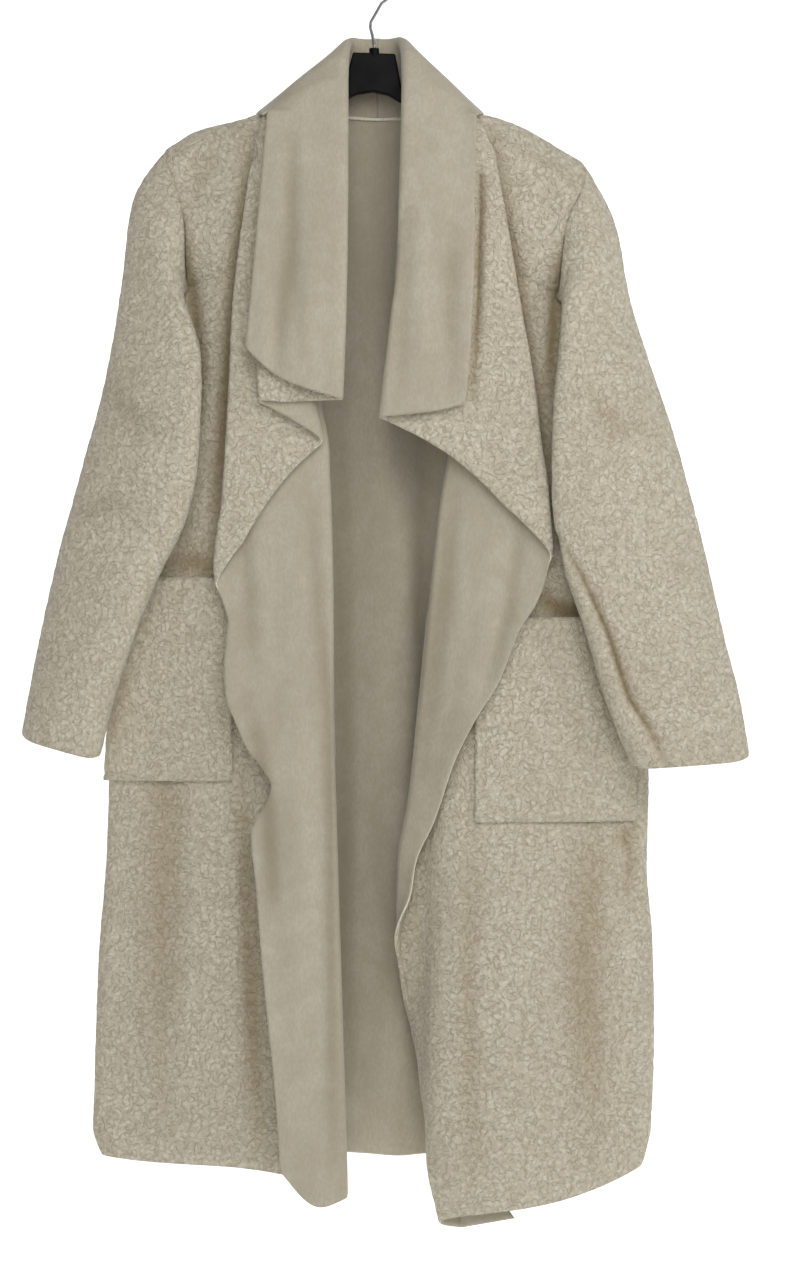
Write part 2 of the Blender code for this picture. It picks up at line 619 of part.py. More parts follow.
def ring_angles(ring):
    """Gives each armhole point its angle: 0 at the shoulder ridge, half a turn at the armpit."""
    lengths = np.linalg.norm(np.diff(np.vstack((ring, ring[:1])), axis=0), axis=1)
    travelled = np.r_[0.0, np.cumsum(lengths)]
    whole = travelled[-1]
    top = travelled[len(ring) - 1]
    shifted = (travelled[:-1] - top) % whole
    bottom = (shifted[ROW_ARMPIT] + shifted[ROW_ARMPIT + 1]) / 2.0
    angles = np.where(shifted <= bottom, shifted / bottom, 1.0 + (shifted - bottom) / (whole - bottom))
    return angles * math.pi


def sleeve_ring(table, place, angles):
    """Returns one leaning oval of a sleeve at a place along its table."""
    x_out, drop_out, x_in, drop_in, y_mid, half_depth, lean = smooth(
        [(i, *row) for i, row in enumerate(table)], place)
    cosine, sine = np.cos(angles), np.sin(angles)
    centre = np.array(((x_out + x_in) / 2, y_mid, (drop_out + drop_in) / 2))
    half = np.array(((x_out - x_in) / 2, lean, (drop_out - drop_in) / 2))
    flat = np.sign(sine) * np.abs(sine)**0.8
    return centre + cosine[:, None] * half - flat[:, None] * np.array((0.0, half_depth, 0.0))


def sleeve_grid(table, armhole, rings=SLEEVE_RINGS):
    """Returns the rings of a sleeve, from the armhole to the cuff."""
    angles = ring_angles(armhole)
    grid = []
    last = len(table) - 1
    for i in range(rings):
        along = i / (rings - 1)
        place = along * (last + 1.0) - 1.0
        if place < 0.0:
            oval = sleeve_ring(table, 0.0, angles)
            grid.append(mix(armhole, oval, (place + 1.0)))
        else:
            grid.append(sleeve_ring(table, place, angles))
    step = grid[1] - grid[0]
    length = np.linalg.norm(step, axis=1)[:, None]
    grid[0] = grid[0] + step / length * SLEEVE_INSET
    return [list(ring) for ring in grid]


def section_at(front, drop, samples=60):
    """Returns the level section of a front's body at a drop."""
    rows = [row for row in range(ROW_ARMPIT, ROW_HEM + 1)]
    sections = [front.body_section(row, samples) for row in rows]
    drops = np.array([section[:, 2] for section in sections])
    level = []
    for j in range(samples):
        column = np.array([section[j] for section in sections])
        level.append([np.interp(drop, drops[:, j], column[:, axis]) for axis in range(3)])
    return np.array(level)


def pocket_grid(front, inner_edge, top, outward):
    """Returns a pocket's points: the front's own points, moved out, at one cut size."""
    grid = []
    lay = CLOTH + LAY_GAP + POCKET_SLACK
    for i in range(POCKET_ROWS + 1):
        down = i / POCKET_ROWS
        section = section_at(front, top + POCKET_HEIGHT * down)
        lengths = np.r_[0.0, np.cumsum(np.linalg.norm(np.diff(section, axis=0), axis=1))]
        turn = int(np.argmin(section[:, 0] * -outward))
        beyond = section[turn:]
        start = np.interp(inner_edge * outward, (beyond[:, 0] * outward)[::-1], lengths[turn:][::-1])
        row = []
        for j in range(POCKET_COLUMNS + 1):
            across = j / POCKET_COLUMNS
            key = start - POCKET_WIDTH * across
            point = np.array([np.interp(key, lengths, section[:, axis]) for axis in range(3)])
            ahead = np.array([np.interp(key + 4.0, lengths, section[:, axis]) for axis in range(3)])
            behind = np.array([np.interp(key - 4.0, lengths, section[:, axis]) for axis in range(3)])
            tangent = ahead - behind
            normal = np.array((-outward * tangent[1], outward * tangent[0], 0.0))
            normal /= np.linalg.norm(normal)
            lift = lay + POCKET_BULGE * math.sin(math.pi * across) * (1.0 - down)
            lift += FOLD_SLACK * math.exp(-((key - lengths[turn]) / FOLD_REACH)**2)
            row.append(point + normal * lift)
        grid.append(row)
    return grid


# ---------------------------------------------------------------------------
# Objects

def clear_scene():
    """Removes every object, so that the file builds the same thing each time."""
    for item in list(bpy.data.objects):
        bpy.data.objects.remove(item, do_unlink=True)


def material(name, colour, roughness, metallic=0.0):
    """Returns a plain finish."""
    finish = bpy.data.materials.new(name)
    finish.use_nodes = True
    shader = finish.node_tree.nodes["Principled BSDF"]
    shader.inputs["Base Color"].default_value = (*colour, 1.0)
    shader.inputs["Roughness"].default_value = roughness
    shader.inputs["Metallic"].default_value = metallic
    return finish


def to_world(point):
    """Turns a table's x, y and drop in millimetres into a point in metres."""
    return Vector((point[0] * MM, point[1] * MM, -point[2] * MM))


def sheet(name, grid, finish, collection, closed=False, wall=CLOTH):
    """Builds one cloth piece: a grid of points with a wall on both sides of it."""
    mesh = bpy.data.meshes.new(name)
    bm = bmesh.new()
    cells = [[bm.verts.new(to_world(point)) if point is not None else None for point in row] for row in grid]
    width = len(cells[0])
    for upper, lower in zip(cells, cells[1:]):
        for j in range(width if closed else width - 1):
            k = (j + 1) % width
            corners = (upper[j], lower[j], lower[k], upper[k])
            if all(corner is not None for corner in corners):
                bm.faces.new(corners)
    loose = [vert for vert in bm.verts if not vert.link_faces]
    bmesh.ops.delete(bm, geom=loose, context="VERTS")
    bmesh.ops.recalc_face_normals(bm, faces=bm.faces)
    bm.to_mesh(mesh)
    bm.free()
    mesh.shade_smooth()
    item = bpy.data.objects.new(name, mesh)
    item.data.materials.append(finish)
    collection.objects.link(item)
    solid = item.modifiers.new("wall", "SOLIDIFY")
    solid.thickness = wall * MM
    solid.offset = 0.0
    return item


def curve_mesh(curve_object):
    """Replaces a curve object by its evaluated, welded mesh and returns the new object."""
    graph = bpy.context.evaluated_depsgraph_get()
    mesh = bpy.data.meshes.new_from_object(curve_object.evaluated_get(graph))
    bm = bmesh.new()
    bm.from_mesh(mesh)
    bmesh.ops.remove_doubles(bm, verts=bm.verts, dist=0.00001)
    bmesh.ops.recalc_face_normals(bm, faces=bm.faces)
    bm.to_mesh(mesh)
    bm.free()
    item = bpy.data.objects.new(curve_object.name + "_mesh", mesh)
    item.matrix_world = curve_object.matrix_world
    for collection in curve_object.users_collection:
        collection.objects.link(item)
    name = curve_object.name
    bpy.data.objects.remove(curve_object, do_unlink=True)
    item.name = name
    return item


def hanger_outline():
    """Returns the closed outline of the plate and its two arms."""
    half = [Vector((x, -drop, 0.0)) for x, drop in PLATE_TOP + PLATE_BOTTOM]
    mirrored = [Vector((-point.x, point.y, 0.0)) for point in reversed(half[1:-1])]
    return [point * MM for point in half + mirrored]


def hanger_body(finish, collection, cutters):
    """Builds the plastic plate and arms with the boss that holds the hook."""
    curve = bpy.data.curves.new("hanger_body", "CURVE")
    curve.dimensions = "2D"
    curve.fill_mode = "BOTH"
    curve.extrude = PLATE_THICK / 2 * MM
    spline = curve.splines.new("POLY")
    outline = hanger_outline()
    spline.points.add(len(outline) - 1)
    for point, place in zip(spline.points, outline):
        point.co = (*place, 1.0)
    spline.use_cyclic_u = True
    plate = bpy.data.objects.new("hanger_body", curve)
    plate.location = ((PLATE_X + PLATE_TOP[0][1] * math.sin(HANGER_TILT)) * MM, 0.0, 0.0)
    plate.rotation_euler = (math.pi / 2, HANGER_TILT, 0.0)
    collection.objects.link(plate)
    bpy.context.view_layer.update()
    body = curve_mesh(plate)
    body.data.materials.append(finish)
    round_edges = body.modifiers.new("edges", "BEVEL")
    round_edges.width = 1.6 * MM
    round_edges.segments = 2
    round_edges.limit_method = "ANGLE"
    round_edges.angle_limit = math.radians(50)
    plate_top = PLATE_TOP[0][1]
    boss = cylinder("boss", BOSS_RADIUS, BOSS_HEIGHT + 4.0, plate_top - BOSS_HEIGHT / 2 + 2.0, cutters)
    bore = cylinder("bore", WIRE / 2 + BORE_CLEARANCE, BORE_DEPTH + 2.0,
                    plate_top - BOSS_HEIGHT + BORE_DEPTH / 2 - 1.0, cutters)
    join = body.modifiers.new("boss", "BOOLEAN")
    join.operation = "UNION"
    join.object = boss
    cut = body.modifiers.new("bore", "BOOLEAN")
    cut.operation = "DIFFERENCE"
    cut.object = bore
    return body


def cylinder(name, radius, height, drop, collection):
    """Makes an upright guide cylinder on the hanger's middle line."""
    bpy.ops.mesh.primitive_cylinder_add(
        vertices=20, radius=radius * MM, depth=height * MM, location=(PLATE_X * MM, 0.0, -drop * MM))
    item = bpy.context.object
    item.name = name
    for owner in list(item.users_collection):
        owner.objects.unlink(item)
    collection.objects.link(item)
    item.hide_render = True
    item.display_type = "WIRE"
    return item


def hook_path():
    """Returns the hook's middle line: the shank, a lead-in bend and the open loop."""
    top = PLATE_TOP[0][1] - BOSS_HEIGHT + BORE_DEPTH - BORE_CLEARANCE
    radius = HOOK_RADIUS + WIRE / 2
    points = [(PLATE_X, top), (PLATE_X, 84.0), (PLATE_X - 0.6, 77.0), (PLATE_X - 1.8, 71.0)]
    points += [(PLATE_X - 3.8, 64.0), (PLATE_X - 3.4, 58.0)]
    for i in range(17):
        angle = math.radians(-62.0 + i * 264.0 / 16)
        points.append((radius * math.cos(angle), HOOK_RADIUS - radius * math.sin(angle)))
    return points


def hanger_hook(finish, collection):
    """Builds the wire hook as a round wire along its path."""
    curve = bpy.data.curves.new("hanger_hook", "CURVE")
    curve.dimensions = "3D"
    curve.bevel_depth = WIRE / 2 * MM
    curve.bevel_resolution = 2
    curve.use_fill_caps = True
    path = hook_path()
    spline = curve.splines.new("POLY")
    spline.points.add(len(path) - 1)
    for point, (x, drop) in zip(spline.points, path):
        point.co = (x * MM, 0.0, -drop * MM, 1.0)
    wire = bpy.data.objects.new("hanger_hook", curve)
    collection.objects.link(wire)
    bpy.context.view_layer.update()
    body = curve_mesh(wire)
    body.data.materials.append(finish)
    body.data.shade_smooth()
    return body


def main():
    """Builds the coat and its hanger."""
    clear_scene()
    coat = bpy.data.collections.new("wrap_coat")
    cutters = bpy.data.collections.new("cutters")
    bpy.context.scene.collection.children.link(coat)
    bpy.context.scene.collection.children.link(cutters)

    cream = material("boucle_cream", (0.72, 0.66, 0.53), 0.95)
    black = material("hanger_black", (0.02, 0.02, 0.022), 0.45)
    steel = material("hook_steel", (0.72, 0.72, 0.74), 0.25, 1.0)

    right = Front(RIGHT_FOLDS, RIGHT_LINES, RIGHT_HEM, RIGHT_SHOULDER,
                  ("fold_1", "fold_2", "fold_3", "fold_4"),
                  {"fold_2": -28.0, "fold_3": 25.0, "fold_4": 6.0, "edge": 14.0}, -1)
    left = Front(LEFT_FOLDS, LEFT_LINES, LEFT_HEM, LEFT_SHOULDER,
                 ("fold_1", "fold_2"), {"roll": 30.0, "edge": 4.0}, 1)
    back = Back(right, left)
    right_grid, left_grid, back_grid = right.grid(), left.grid(), back.grid()

    sheet("front_right", right_grid, cream, coat)
    sheet("front_left", left_grid, cream, coat)
    sheet("back", back_grid, cream, coat)

    right_ring = armhole_ring(right, right_grid, back_grid, 0)
    left_ring = armhole_ring(left, left_grid, back_grid, len(back.columns) - 1)
    sheet("sleeve_right", sleeve_grid(RIGHT_SLEEVE, right_ring), cream, coat, closed=True)
    sheet("sleeve_left", sleeve_grid(LEFT_SLEEVE, left_ring), cream, coat, closed=True)

    sheet("pocket_right", pocket_grid(right, -139.0, 622.0, -1), cream, coat)
    sheet("pocket_left", pocket_grid(left, 104.0, 662.0, 1), cream, coat)

    hanger_body(black, coat, cutters)
    hanger_hook(steel, coat)


main()
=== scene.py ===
"""Cream waterfall coat of double-faced cloth on its hanger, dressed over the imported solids.

Every sheet of cloth is made again from the same tables as its solid, with a finer grid, a
curled face, a brushed face and a raw edge. The tables are in millimetres: x to the
wearer's left, y to the back, drop down from the rail.
"""
from __future__ import annotations

import logging
import math
from dataclasses import dataclass, field
from enum import Enum
from typing import Callable, NamedTuple, Optional, Sequence, Union

import bpy
import numpy as np
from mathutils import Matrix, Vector, noise


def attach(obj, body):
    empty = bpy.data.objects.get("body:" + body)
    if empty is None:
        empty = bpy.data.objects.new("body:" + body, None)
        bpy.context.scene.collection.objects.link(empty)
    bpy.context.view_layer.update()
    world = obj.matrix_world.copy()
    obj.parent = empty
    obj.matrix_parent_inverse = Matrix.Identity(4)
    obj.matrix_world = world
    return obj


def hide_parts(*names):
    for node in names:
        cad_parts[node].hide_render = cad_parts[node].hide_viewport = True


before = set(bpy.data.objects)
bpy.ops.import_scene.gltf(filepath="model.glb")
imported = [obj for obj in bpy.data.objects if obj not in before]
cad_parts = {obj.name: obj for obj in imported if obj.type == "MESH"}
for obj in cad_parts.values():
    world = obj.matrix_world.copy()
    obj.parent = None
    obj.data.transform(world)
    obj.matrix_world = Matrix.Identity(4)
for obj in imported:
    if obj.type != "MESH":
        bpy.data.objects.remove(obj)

LOG = logging.getLogger("coat")
Array = np.ndarray
Colour = tuple[float, float, float, float]
Spot = tuple[float, float, float]
MM = 0.001
TO_METRES = np.array((MM, MM, -MM))
BODY = "root"

# Lengths are in mm, and drops are measured down from the origin, unless a comment says otherwise.

# The cloth's wall, and the longest step of each fine grid.
CLOTH = 3.0
GRID_STEP = 4.5
SLEEVE_STEP = 3.7
POCKET_STEP = 3.4

# The coarse rows: the collar above the neck point (row 0), the armpit, the fan's end, the hem.
COLLAR_ROWS = 6
ROW_ARMPIT = 6
ROW_FAN = 12
ROW_HEM = 26
ROWS = (0, ROW_ARMPIT, ROW_FAN, ROW_HEM)
PACE_ARMPIT = 0.30
SHOULDER_ROWS = 3
FAN_END = 620.0
FOLD_2_FAN_END = {-1: 635.0, 1: 605.0}

# How the fronts' controls stand between their folds.
NEAR_FOLD = 10.0
NEAR_SHARE = 0.4
SIDE_FOLD_HALF = 9.0
SIDE_FOLD_TIGHT = 0.4
BODY_FRACTIONS = (0.14, 0.34, 0.56, 0.80)
BODY_CURVE = 2.2
BODY_WAVE = 6.0
BODY_WAVES = 1.6
BODY_WAVE_START = 0.15
LAPEL_FRACTIONS = (0.36, 0.70)
LAPEL_SAGS = (0.6, 1.0)
LAPEL_BULGE = 2.5

# The back: the neck, the depth and the swing of its waves at each drop.
CENTRE_BACK_X = 6.0
BEHIND_RIDGE = 10.0
BELOW_NECK = (0.0, 1.5, 20.0)
UNDER_NECK = (0.0, 0.8, 10.0)
RIDGE_SHARES = {1: 0.85, 2: 0.1}
BACK_DEPTHS = ((160, 24), (240, 27), (330, 30), (600, 35), (900, 40), (1211, 44))
BACK_SWINGS = ((200, 0), (420, 4), (700, 6), (1211, 8))
BACK_WAVE = 0.21
BACK_SLOW_WAVE = 0.37
BACK_SLOW_SHARE = 0.4
BACK_HEM_SAG = 2.0

OVAL_SQUARENESS = 0.8
CUFF_ROUND = 5.0

POCKET_WIDTH = 166.0
POCKET_HEIGHT = 205.0
POCKET_BULGE = 2.0
POCKET_LIFT = 3.9
TANGENT_REACH = 4.0
FOLD_SLACK = 1.6
FOLD_REACH = 18.0

# How far the cloth is sunk at each step away from a seam, and the depth at which the painted shade in a sunk
# place is darkest.
SEAM_DIP = (0.9, 0.75, 0.5, 0.25, -0.1, 0.0)
DEEP = 5.0

NECK_EDGE_REACH = 70.0
NECK_EDGE_LIFT = (0.0, -3.2, 1.0)
NECK_EDGE_WOBBLE = 1.6
NECK_EDGE_WOBBLES = 0.06
NECK_EDGE_BEND = -8.0
NECK_EDGE_RISE = 2.2 / 16.0
NECK_EDGE_HALF = (1.0, 1.7)
NECK_EDGE_SIDES = 8


class Face(Enum):
    """Which way the curled face of a sheet looks along its grid's own normal."""

    ALONG = 1
    AGAINST = -1


class Slot(Enum):
    """Material slots of a sheet of cloth."""

    CURLED = 0
    BRUSHED = 1
    RAW_EDGE = 2


class FoldRow(NamedTuple):
    """A fold at a drop: its x and the y of the layers that arrive and leave."""

    drop: float
    x: float
    arrives: float
    leaves: float


class LineRow(NamedTuple):
    """A body line at a drop."""

    drop: float
    x: float
    y: float


class Place(NamedTuple):
    """A point of a seam."""

    x: float
    y: float
    drop: float


class CollarRow(NamedTuple):
    """A collar line at one station: its share of the way in x from the centre back."""

    reach: float
    y: float
    drop: float


class RingRow(NamedTuple):
    """One leaning oval of a sleeve."""

    x_out: float
    drop_out: float
    x_in: float
    drop_in: float
    y_mid: float
    half_depth: float
    lean: float


class HemRow(NamedTuple):
    """The drop of the hem from the side seam to the front."""

    side_seam: float
    side_fold: float
    b1: float
    b2: float
    b3: float
    b4: float


def named(kind: Callable, *rows: Sequence[float]) -> tuple:
    """Gives a table's rows the names of its columns."""
    return tuple(kind(*row) for row in rows)


# Wearer's right front (-X): four folds fan out from the neck point, then the roll line.
# Each fold has its x, the y of the layer that arrives and of the layer that leaves it.
# Below the fan, fold_2 goes on as the free edge of the long flap.

RIGHT_FOLDS = {
    "fold_1": named(FoldRow,
        (158, -109, -14, -16), (190, -113, -18, -22), (230, -108, -22, -28), (300, -88, -26, -34),
        (360, -72, -28, -37), (445, -51, -29, -38), (545, -41, -30, -40), (745, -36, -30, -46),
        (1045, -29, -32, -52), (1241, -24, -32, -50)),
    "fold_2": named(FoldRow,
        (158, -109, -18, -20), (190, -117, -25, -28), (230, -123, -31, -36), (355, -138, -38, -46),
        (445, -142, -40, -48), (545, -148, -42, -50), (605, -155, -44, -52), (635, -152, -46, -54),
        (667, -143, -50, -56), (710, -146, -56, -62), (740, -144, -60, -66), (765, -135, -62, -68),
        (792, -123, -60, -66), (812, -109, -57, -63), (830, -99, -55, -61), (852, -107, -55, -61),
        (878, -119, -57, -63), (930, -114, -59, -65), (995, -109, -60, -66), (1055, -103, -62, -68),
        (1135, -95, -62, -68), (1213, -90, -58, -64)),
    "fold_3": named(FoldRow,
        (158, -109, -22, -24), (190, -113, -31, -34), (230, -108, -39, -44), (300, -88, -45, -52),
        (360, -74, -48, -56), (488, -49, -49, -57)),
    "fold_4": named(FoldRow,
        (158, -109, -26, -28), (190, -109, -37, -40), (230, -107, -47, -52), (300, -109, -54, -61),
        (380, -112, -57, -64), (450, -113, -58, -65)),
    "roll": named(FoldRow,
        (158, -23, -37, -46), (225, -23, -52, -62), (300, -24, -62, -71), (370, -26, -65, -73),
        (447, -29, -66, -74)),
    "edge": named(FoldRow,
        (157, -104, -42, -42), (225, -109, -59, -59), (300, -115, -68, -68), (345, -119, -71, -71),
        (396, -124, -73, -73)),
}
RIGHT_LINES = {
    "side_fold": named(LineRow,
        (330, -190, -9), (343, -199, -9), (360, -201, -9), (420, -204, -9), (560, -226, -9),
        (807, -265, -9), (900, -268, -9), (1009, -276, -9), (1149, -281, -9), (1180, -282, -9),
        (1206, -274, -9)),
    "armhole": named(LineRow,
        (203, -207, -14), (249, -191, -24), (279, -187, -26), (306, -187, -21), (330, -190, -9)),
    "side_wrap": named(LineRow, (330, 2, 9), (480, 26, 13), (620, 60, 14), (1208, 62, 16)),
}
RIGHT_HEM = HemRow(1208, 1206, 1211, 1212, 1214, 1224)
RIGHT_SHOULDER = named(Place, (-109, -14, 158), (-133, -13, 166), (-174, -13, 179), (-207, -14, 203))
RIGHT_RIDGE = named(Place, (-111, -2, 152), (-133, 0, 159), (-174, 0, 169), (-210, -2, 191))
RIGHT_BACK_ARMHOLE = named(Place,
    (-207, -14, 203), (-210, -2, 191), (-208, 10, 203), (-202, 15, 235), (-196, 18, 268), (-191, 18, 301),
    (-188, 9, 330))

# ---------------------------------------------------------------------------
# Wearer's left front (+X): two folds fan out from the neck point, then the roll line.
# Lower down the front turns back at a ridge, and its extension swings behind it.

LEFT_FOLDS = {
    "fold_1": named(FoldRow,
        (160, 106, -18, -21), (200, 104, -22, -29), (300, 94, -29, -37), (495, 79, -31, -40),
        (545, 70, -31, -41), (645, 59, -30, -41), (745, 49, -27, -39), (845, 38, -20, -34),
        (905, 28, -13, -26), (951, 27, -6, -17), (999, 29, 1, -8), (1046, 38, 4, 3), (1094, 45, 4, 7),
        (1141, 50, 6, 10), (1189, 58, 12, 15), (1236, 72, 12, 13), (1283, 92, 8, 9)),
    "fold_2": named(FoldRow,
        (160, 107, -25, -29), (196, 123, -31, -37), (231, 129, -34, -41), (278, 137, -38, -45),
        (349, 149, -40, -48), (431, 163, -42, -50), (485, 169, -43, -52), (545, 177, -45, -54),
        (605, 179, -47, -56), (645, 167, -52, -58), (675, 148, -54, -60), (725, 128, -56, -62),
        (765, 104, -58, -64), (805, 84, -60, -66), (867, 63, -48, -54), (905, 46, -38, -44),
        (939, 40, -34, -40), (987, 25, -21, -24), (1035, 30, 4, 4), (1083, 41, 18, 18), (1131, 53, 25, 25),
        (1178, 74, 28, 28), (1226, 110, 22, 22), (1274, 146, 10, 10)),
    "roll": named(FoldRow,
        (160, 31, -33, -42), (225, 29, -43, -53), (295, 27, -50, -60), (375, 19, -55, -65),
        (464, 9, -57, -66)),
    "edge": named(FoldRow,
        (159, 106, -38, -38), (225, 104, -51, -51), (305, 103, -59, -59), (395, 99, -64, -64),
        (450, 94, -66, -66)),
}
LEFT_LINES = {
    "side_fold": named(LineRow,
        (338, 192, -9), (354, 202, -9), (430, 211, -9), (560, 233, -9), (825, 280, -9), (915, 278, -9),
        (993, 284, -9), (1087, 286, -9), (1179, 283, -9), (1216, 275, -9)),
    "armhole": named(LineRow,
        (233, 212, -20), (262, 197, -26), (295, 192, -27), (318, 190, -21), (338, 192, -9)),
    "side_wrap": named(LineRow, (338, 2, 9), (480, 12, 12), (1217, 18, 13)),
    "ridge": named(LineRow,
        (160, 107, -14), (200, 112, -18), (300, 108, -26), (495, 100, -31), (645, 90, -33), (745, 80, -37),
        (805, 75, -45), (866, 71, -49), (989, 66, -50), (1111, 60, -52), (1203, 58, -50), (1262, 67, -46)),
    "strip": named(LineRow,
        (160, 106, -15), (200, 106, -20), (300, 99, -27), (495, 88, -30), (645, 74, -30), (745, 64, -28),
        (805, 62, -25), (866, 59, -21), (989, 57, -14), (1111, 54, -14), (1203, 54, -14), (1275, 68, -16)),
}
LEFT_HEM = HemRow(1217, 1216, 1231, 1243, 1255, 1262)
LEFT_SHOULDER = named(Place,
    (107, -14, 160), (125, -15, 173), (157, -17, 195), (194, -19, 216), (212, -20, 233))
LEFT_RIDGE = named(Place, (109, -2, 153), (120, 0, 156), (138, 0, 160), (183, 0, 183), (214, -2, 202))
LEFT_BACK_ARMHOLE = named(Place,
    (212, -20, 233), (216, -2, 203), (214, 11, 214), (208, 16, 245), (202, 19, 277), (196, 18, 309),
    (190, 9, 338))

# ---------------------------------------------------------------------------
# Grown-on collar, from the neck point (first row) to the centre back (last row).
# reach is the part of the way in x from the centre back to the neck point.

COLLAR = {
    "seam": named(CollarRow,
        (0.97, -4, 153), (0.9, 9, 151), (0.74, 19, 150), (0.51, 25, 150), (0.26, 27, 151), (0, 27, 151)),
    "stand": named(CollarRow,
        (0.62, -21, 146), (0.56, -2, 129), (0.46, 13, 121), (0.33, 22, 116), (0.17, 26, 113), (0, 27, 112)),
    "roll_in": named(CollarRow,
        (0.25, -27, 123), (0.24, -12, 98), (0.23, 4, 83), (0.19, 17, 76), (0.1, 25, 74), (0, 27, 73)),
    "roll_out": named(CollarRow,
        (0.27, -35, 119), (0.27, -17, 89), (0.26, 5, 73), (0.2, 23, 67), (0.1, 34, 66), (0, 38, 65)),
    "fall": named(CollarRow,
        (0.66, -37, 136), (0.61, -18, 112), (0.59, 5, 108), (0.5, 28, 112), (0.26, 39, 118), (0, 43, 120)),
    "edge": named(CollarRow,
        (1, -28, 158), (1.03, -14, 154), (1.07, 4, 151), (0.98, 28, 168), (0.54, 40, 179), (0, 44, 182)),
}

# ---------------------------------------------------------------------------
# Sleeves: the outer and inner ends of each ring, armhole to cuff.
# lean is how far the inner end stands forward of the middle.

RIGHT_SLEEVE = named(RingRow,
    (-240, 240, -188, 344, -18, 20, 18), (-251, 322, -173, 390, -27, 20, 20),
    (-260, 384, -170, 424, -34, 20, 22), (-272, 444, -171, 472, -38, 22, 22),
    (-285, 494, -175, 522, -39, 24, 20), (-298, 544, -187, 570, -38, 25, 18),
    (-311, 592, -211, 618, -37, 26, 16), (-322, 640, -231, 666, -37, 26, 14),
    (-333, 692, -248, 716, -38, 26, 12), (-342, 740, -262, 762, -39, 26, 10),
    (-349, 784, -271, 805, -40, 26, 8))
LEFT_SLEEVE = named(RingRow,
    (245, 262, 192, 351, -19, 20, 18), (260, 340, 188, 400, -26, 18, 22), (279, 405, 183, 446, -36, 18, 22),
    (303, 475, 181, 506, -38, 18, 22), (320, 535, 183, 563, -38, 18, 20), (334, 590, 195, 614, -38, 19, 18),
    (345, 640, 211, 658, -38, 20, 16), (356, 690, 224, 700, -38, 20, 14), (366, 730, 236, 740, -39, 21, 12),
    (373, 768, 249, 778, -40, 21, 10), (378, 806, 262, 814, -40, 21, 8))


# At the fan's end, how far the layer on its way to each fold rises; "edge" is the lapel's sag.
RIGHT_RISES = {"fold_2": -28.0, "fold_3": 25.0, "fold_4": 6.0, "edge": 14.0}
LEFT_RISES = {"roll": 30.0, "edge": 4.0}


class PocketPlace(NamedTuple):
    """Where a pocket lies: the x of its inner edge and the drop of its mouth."""

    inner_edge: float
    top: float


class Cut(NamedTuple):
    """A cut piece: its flat width and length, and the share of that oblong it fills."""

    flat: tuple[float, float]
    share: float


class Ridge(NamedTuple):
    """A ridge or a groove: its height or depth, and its width."""

    size: float
    width: float


RIGHT_POCKET = PocketPlace(-139.0, 622.0)
LEFT_POCKET = PocketPlace(104.0, 662.0)
FRONT_RIGHT_CUT = Cut((0.75, 1.19), 0.52)
FRONT_LEFT_CUT = Cut((0.66, 1.23), 0.50)
BACK_CUT = Cut((0.52, 1.06), 0.88)
SLEEVE_CUT = Cut((0.265, 0.63), 0.85)
POCKET_CUT = Cut((0.17, 0.21), 1.0)
POCKET_GROOVE = 7.0
POCKET_RIM = Ridge(0.9, 4.5)
POCKET_SEAM = Ridge(1.0, 2.4)
POCKET_MOUTH = Ridge(1.1, 13.0)
POCKET_FADE = 14.0

# The camera, in metres but for its sensor.
SENSOR = 36.0
CAMERA_DISTANCE = 2.7
FRAME_HEIGHT = 1.28
FRONT_PLANE = -0.040
CAMERA_X = 0.026
CAMERA_Z = -0.685


def smooth(rows: Sequence[Sequence[float]], key: float) -> Array:
    """Reads a table at a key by a cubic that keeps the table's rises and falls.

    Args:
        rows: Table rows, with the key in the first column.
        key: Where to read.

    Returns:
        The other columns at the key.
    """
    table = np.array([tuple(row) for row in rows], dtype=float)
    along, values = table[:, 0], table[:, 1:]
    if key <= along[0]:
        return values[0]
    if key >= along[-1]:
        return values[-1]
    slopes = np.diff(values, axis=0) / np.diff(along)[:, None]
    tangents = np.empty_like(values)
    tangents[0], tangents[-1] = slopes[0], slopes[-1]
    product = slopes[:-1] * slopes[1:]
    total = np.where(product > 0, slopes[:-1] + slopes[1:], 1.0)
    tangents[1:-1] = np.where(product > 0, 2.0 * product / total, 0.0)
    i = int(np.searchsorted(along, key) - 1)
    h = along[i + 1] - along[i]
    s = (key - along[i]) / h
    return ((2 * s**3 - 3 * s**2 + 1) * values[i] + (s**3 - 2 * s**2 + s) * h * tangents[i]
            + (3 * s**2 - 2 * s**3) * values[i + 1] + (s**3 - s**2) * h * tangents[i + 1])


def gaps(grid: Array, axis: int) -> Array:
    """Measures the distances between neighbours along an axis of a grid."""
    return np.linalg.norm(np.diff(grid, axis=axis), axis=-1)


def lengths_along(points: Array) -> Array:
    """Measures how far along a line each of its points lies."""
    return np.r_[0.0, np.cumsum(gaps(points, 0))]


def along_path(places: Sequence[Place], fraction: float) -> Array:
    """Finds the point at a fraction of the way along a short path.

    Args:
        places: The path.
        fraction: From 0 to 1.

    Returns:
        The point as x, y and drop.
    """
    points = np.array([tuple(place) for place in places], dtype=float)
    lengths = lengths_along(points)
    return smooth([(length, *point) for length, point in zip(lengths, points)], fraction * lengths[-1])


def mix(a: Array, b: Array, amount: float) -> Array:
    """Blends two values."""
    return a + (b - a) * amount


def ease(amount: float) -> float:
    """Makes a soft step."""
    amount = min(1.0, max(0.0, amount))
    return amount * amount * (3.0 - 2.0 * amount)


def cubic_weights(s: Array) -> tuple[Array, Array, Array, Array]:
    """Gives the weights of a uniform cubic B-spline."""
    return ((1 - s)**3 / 6, (3 * s**3 - 6 * s**2 + 4) / 6, (-3 * s**3 + 3 * s**2 + 3 * s + 1) / 6, s**3 / 6)


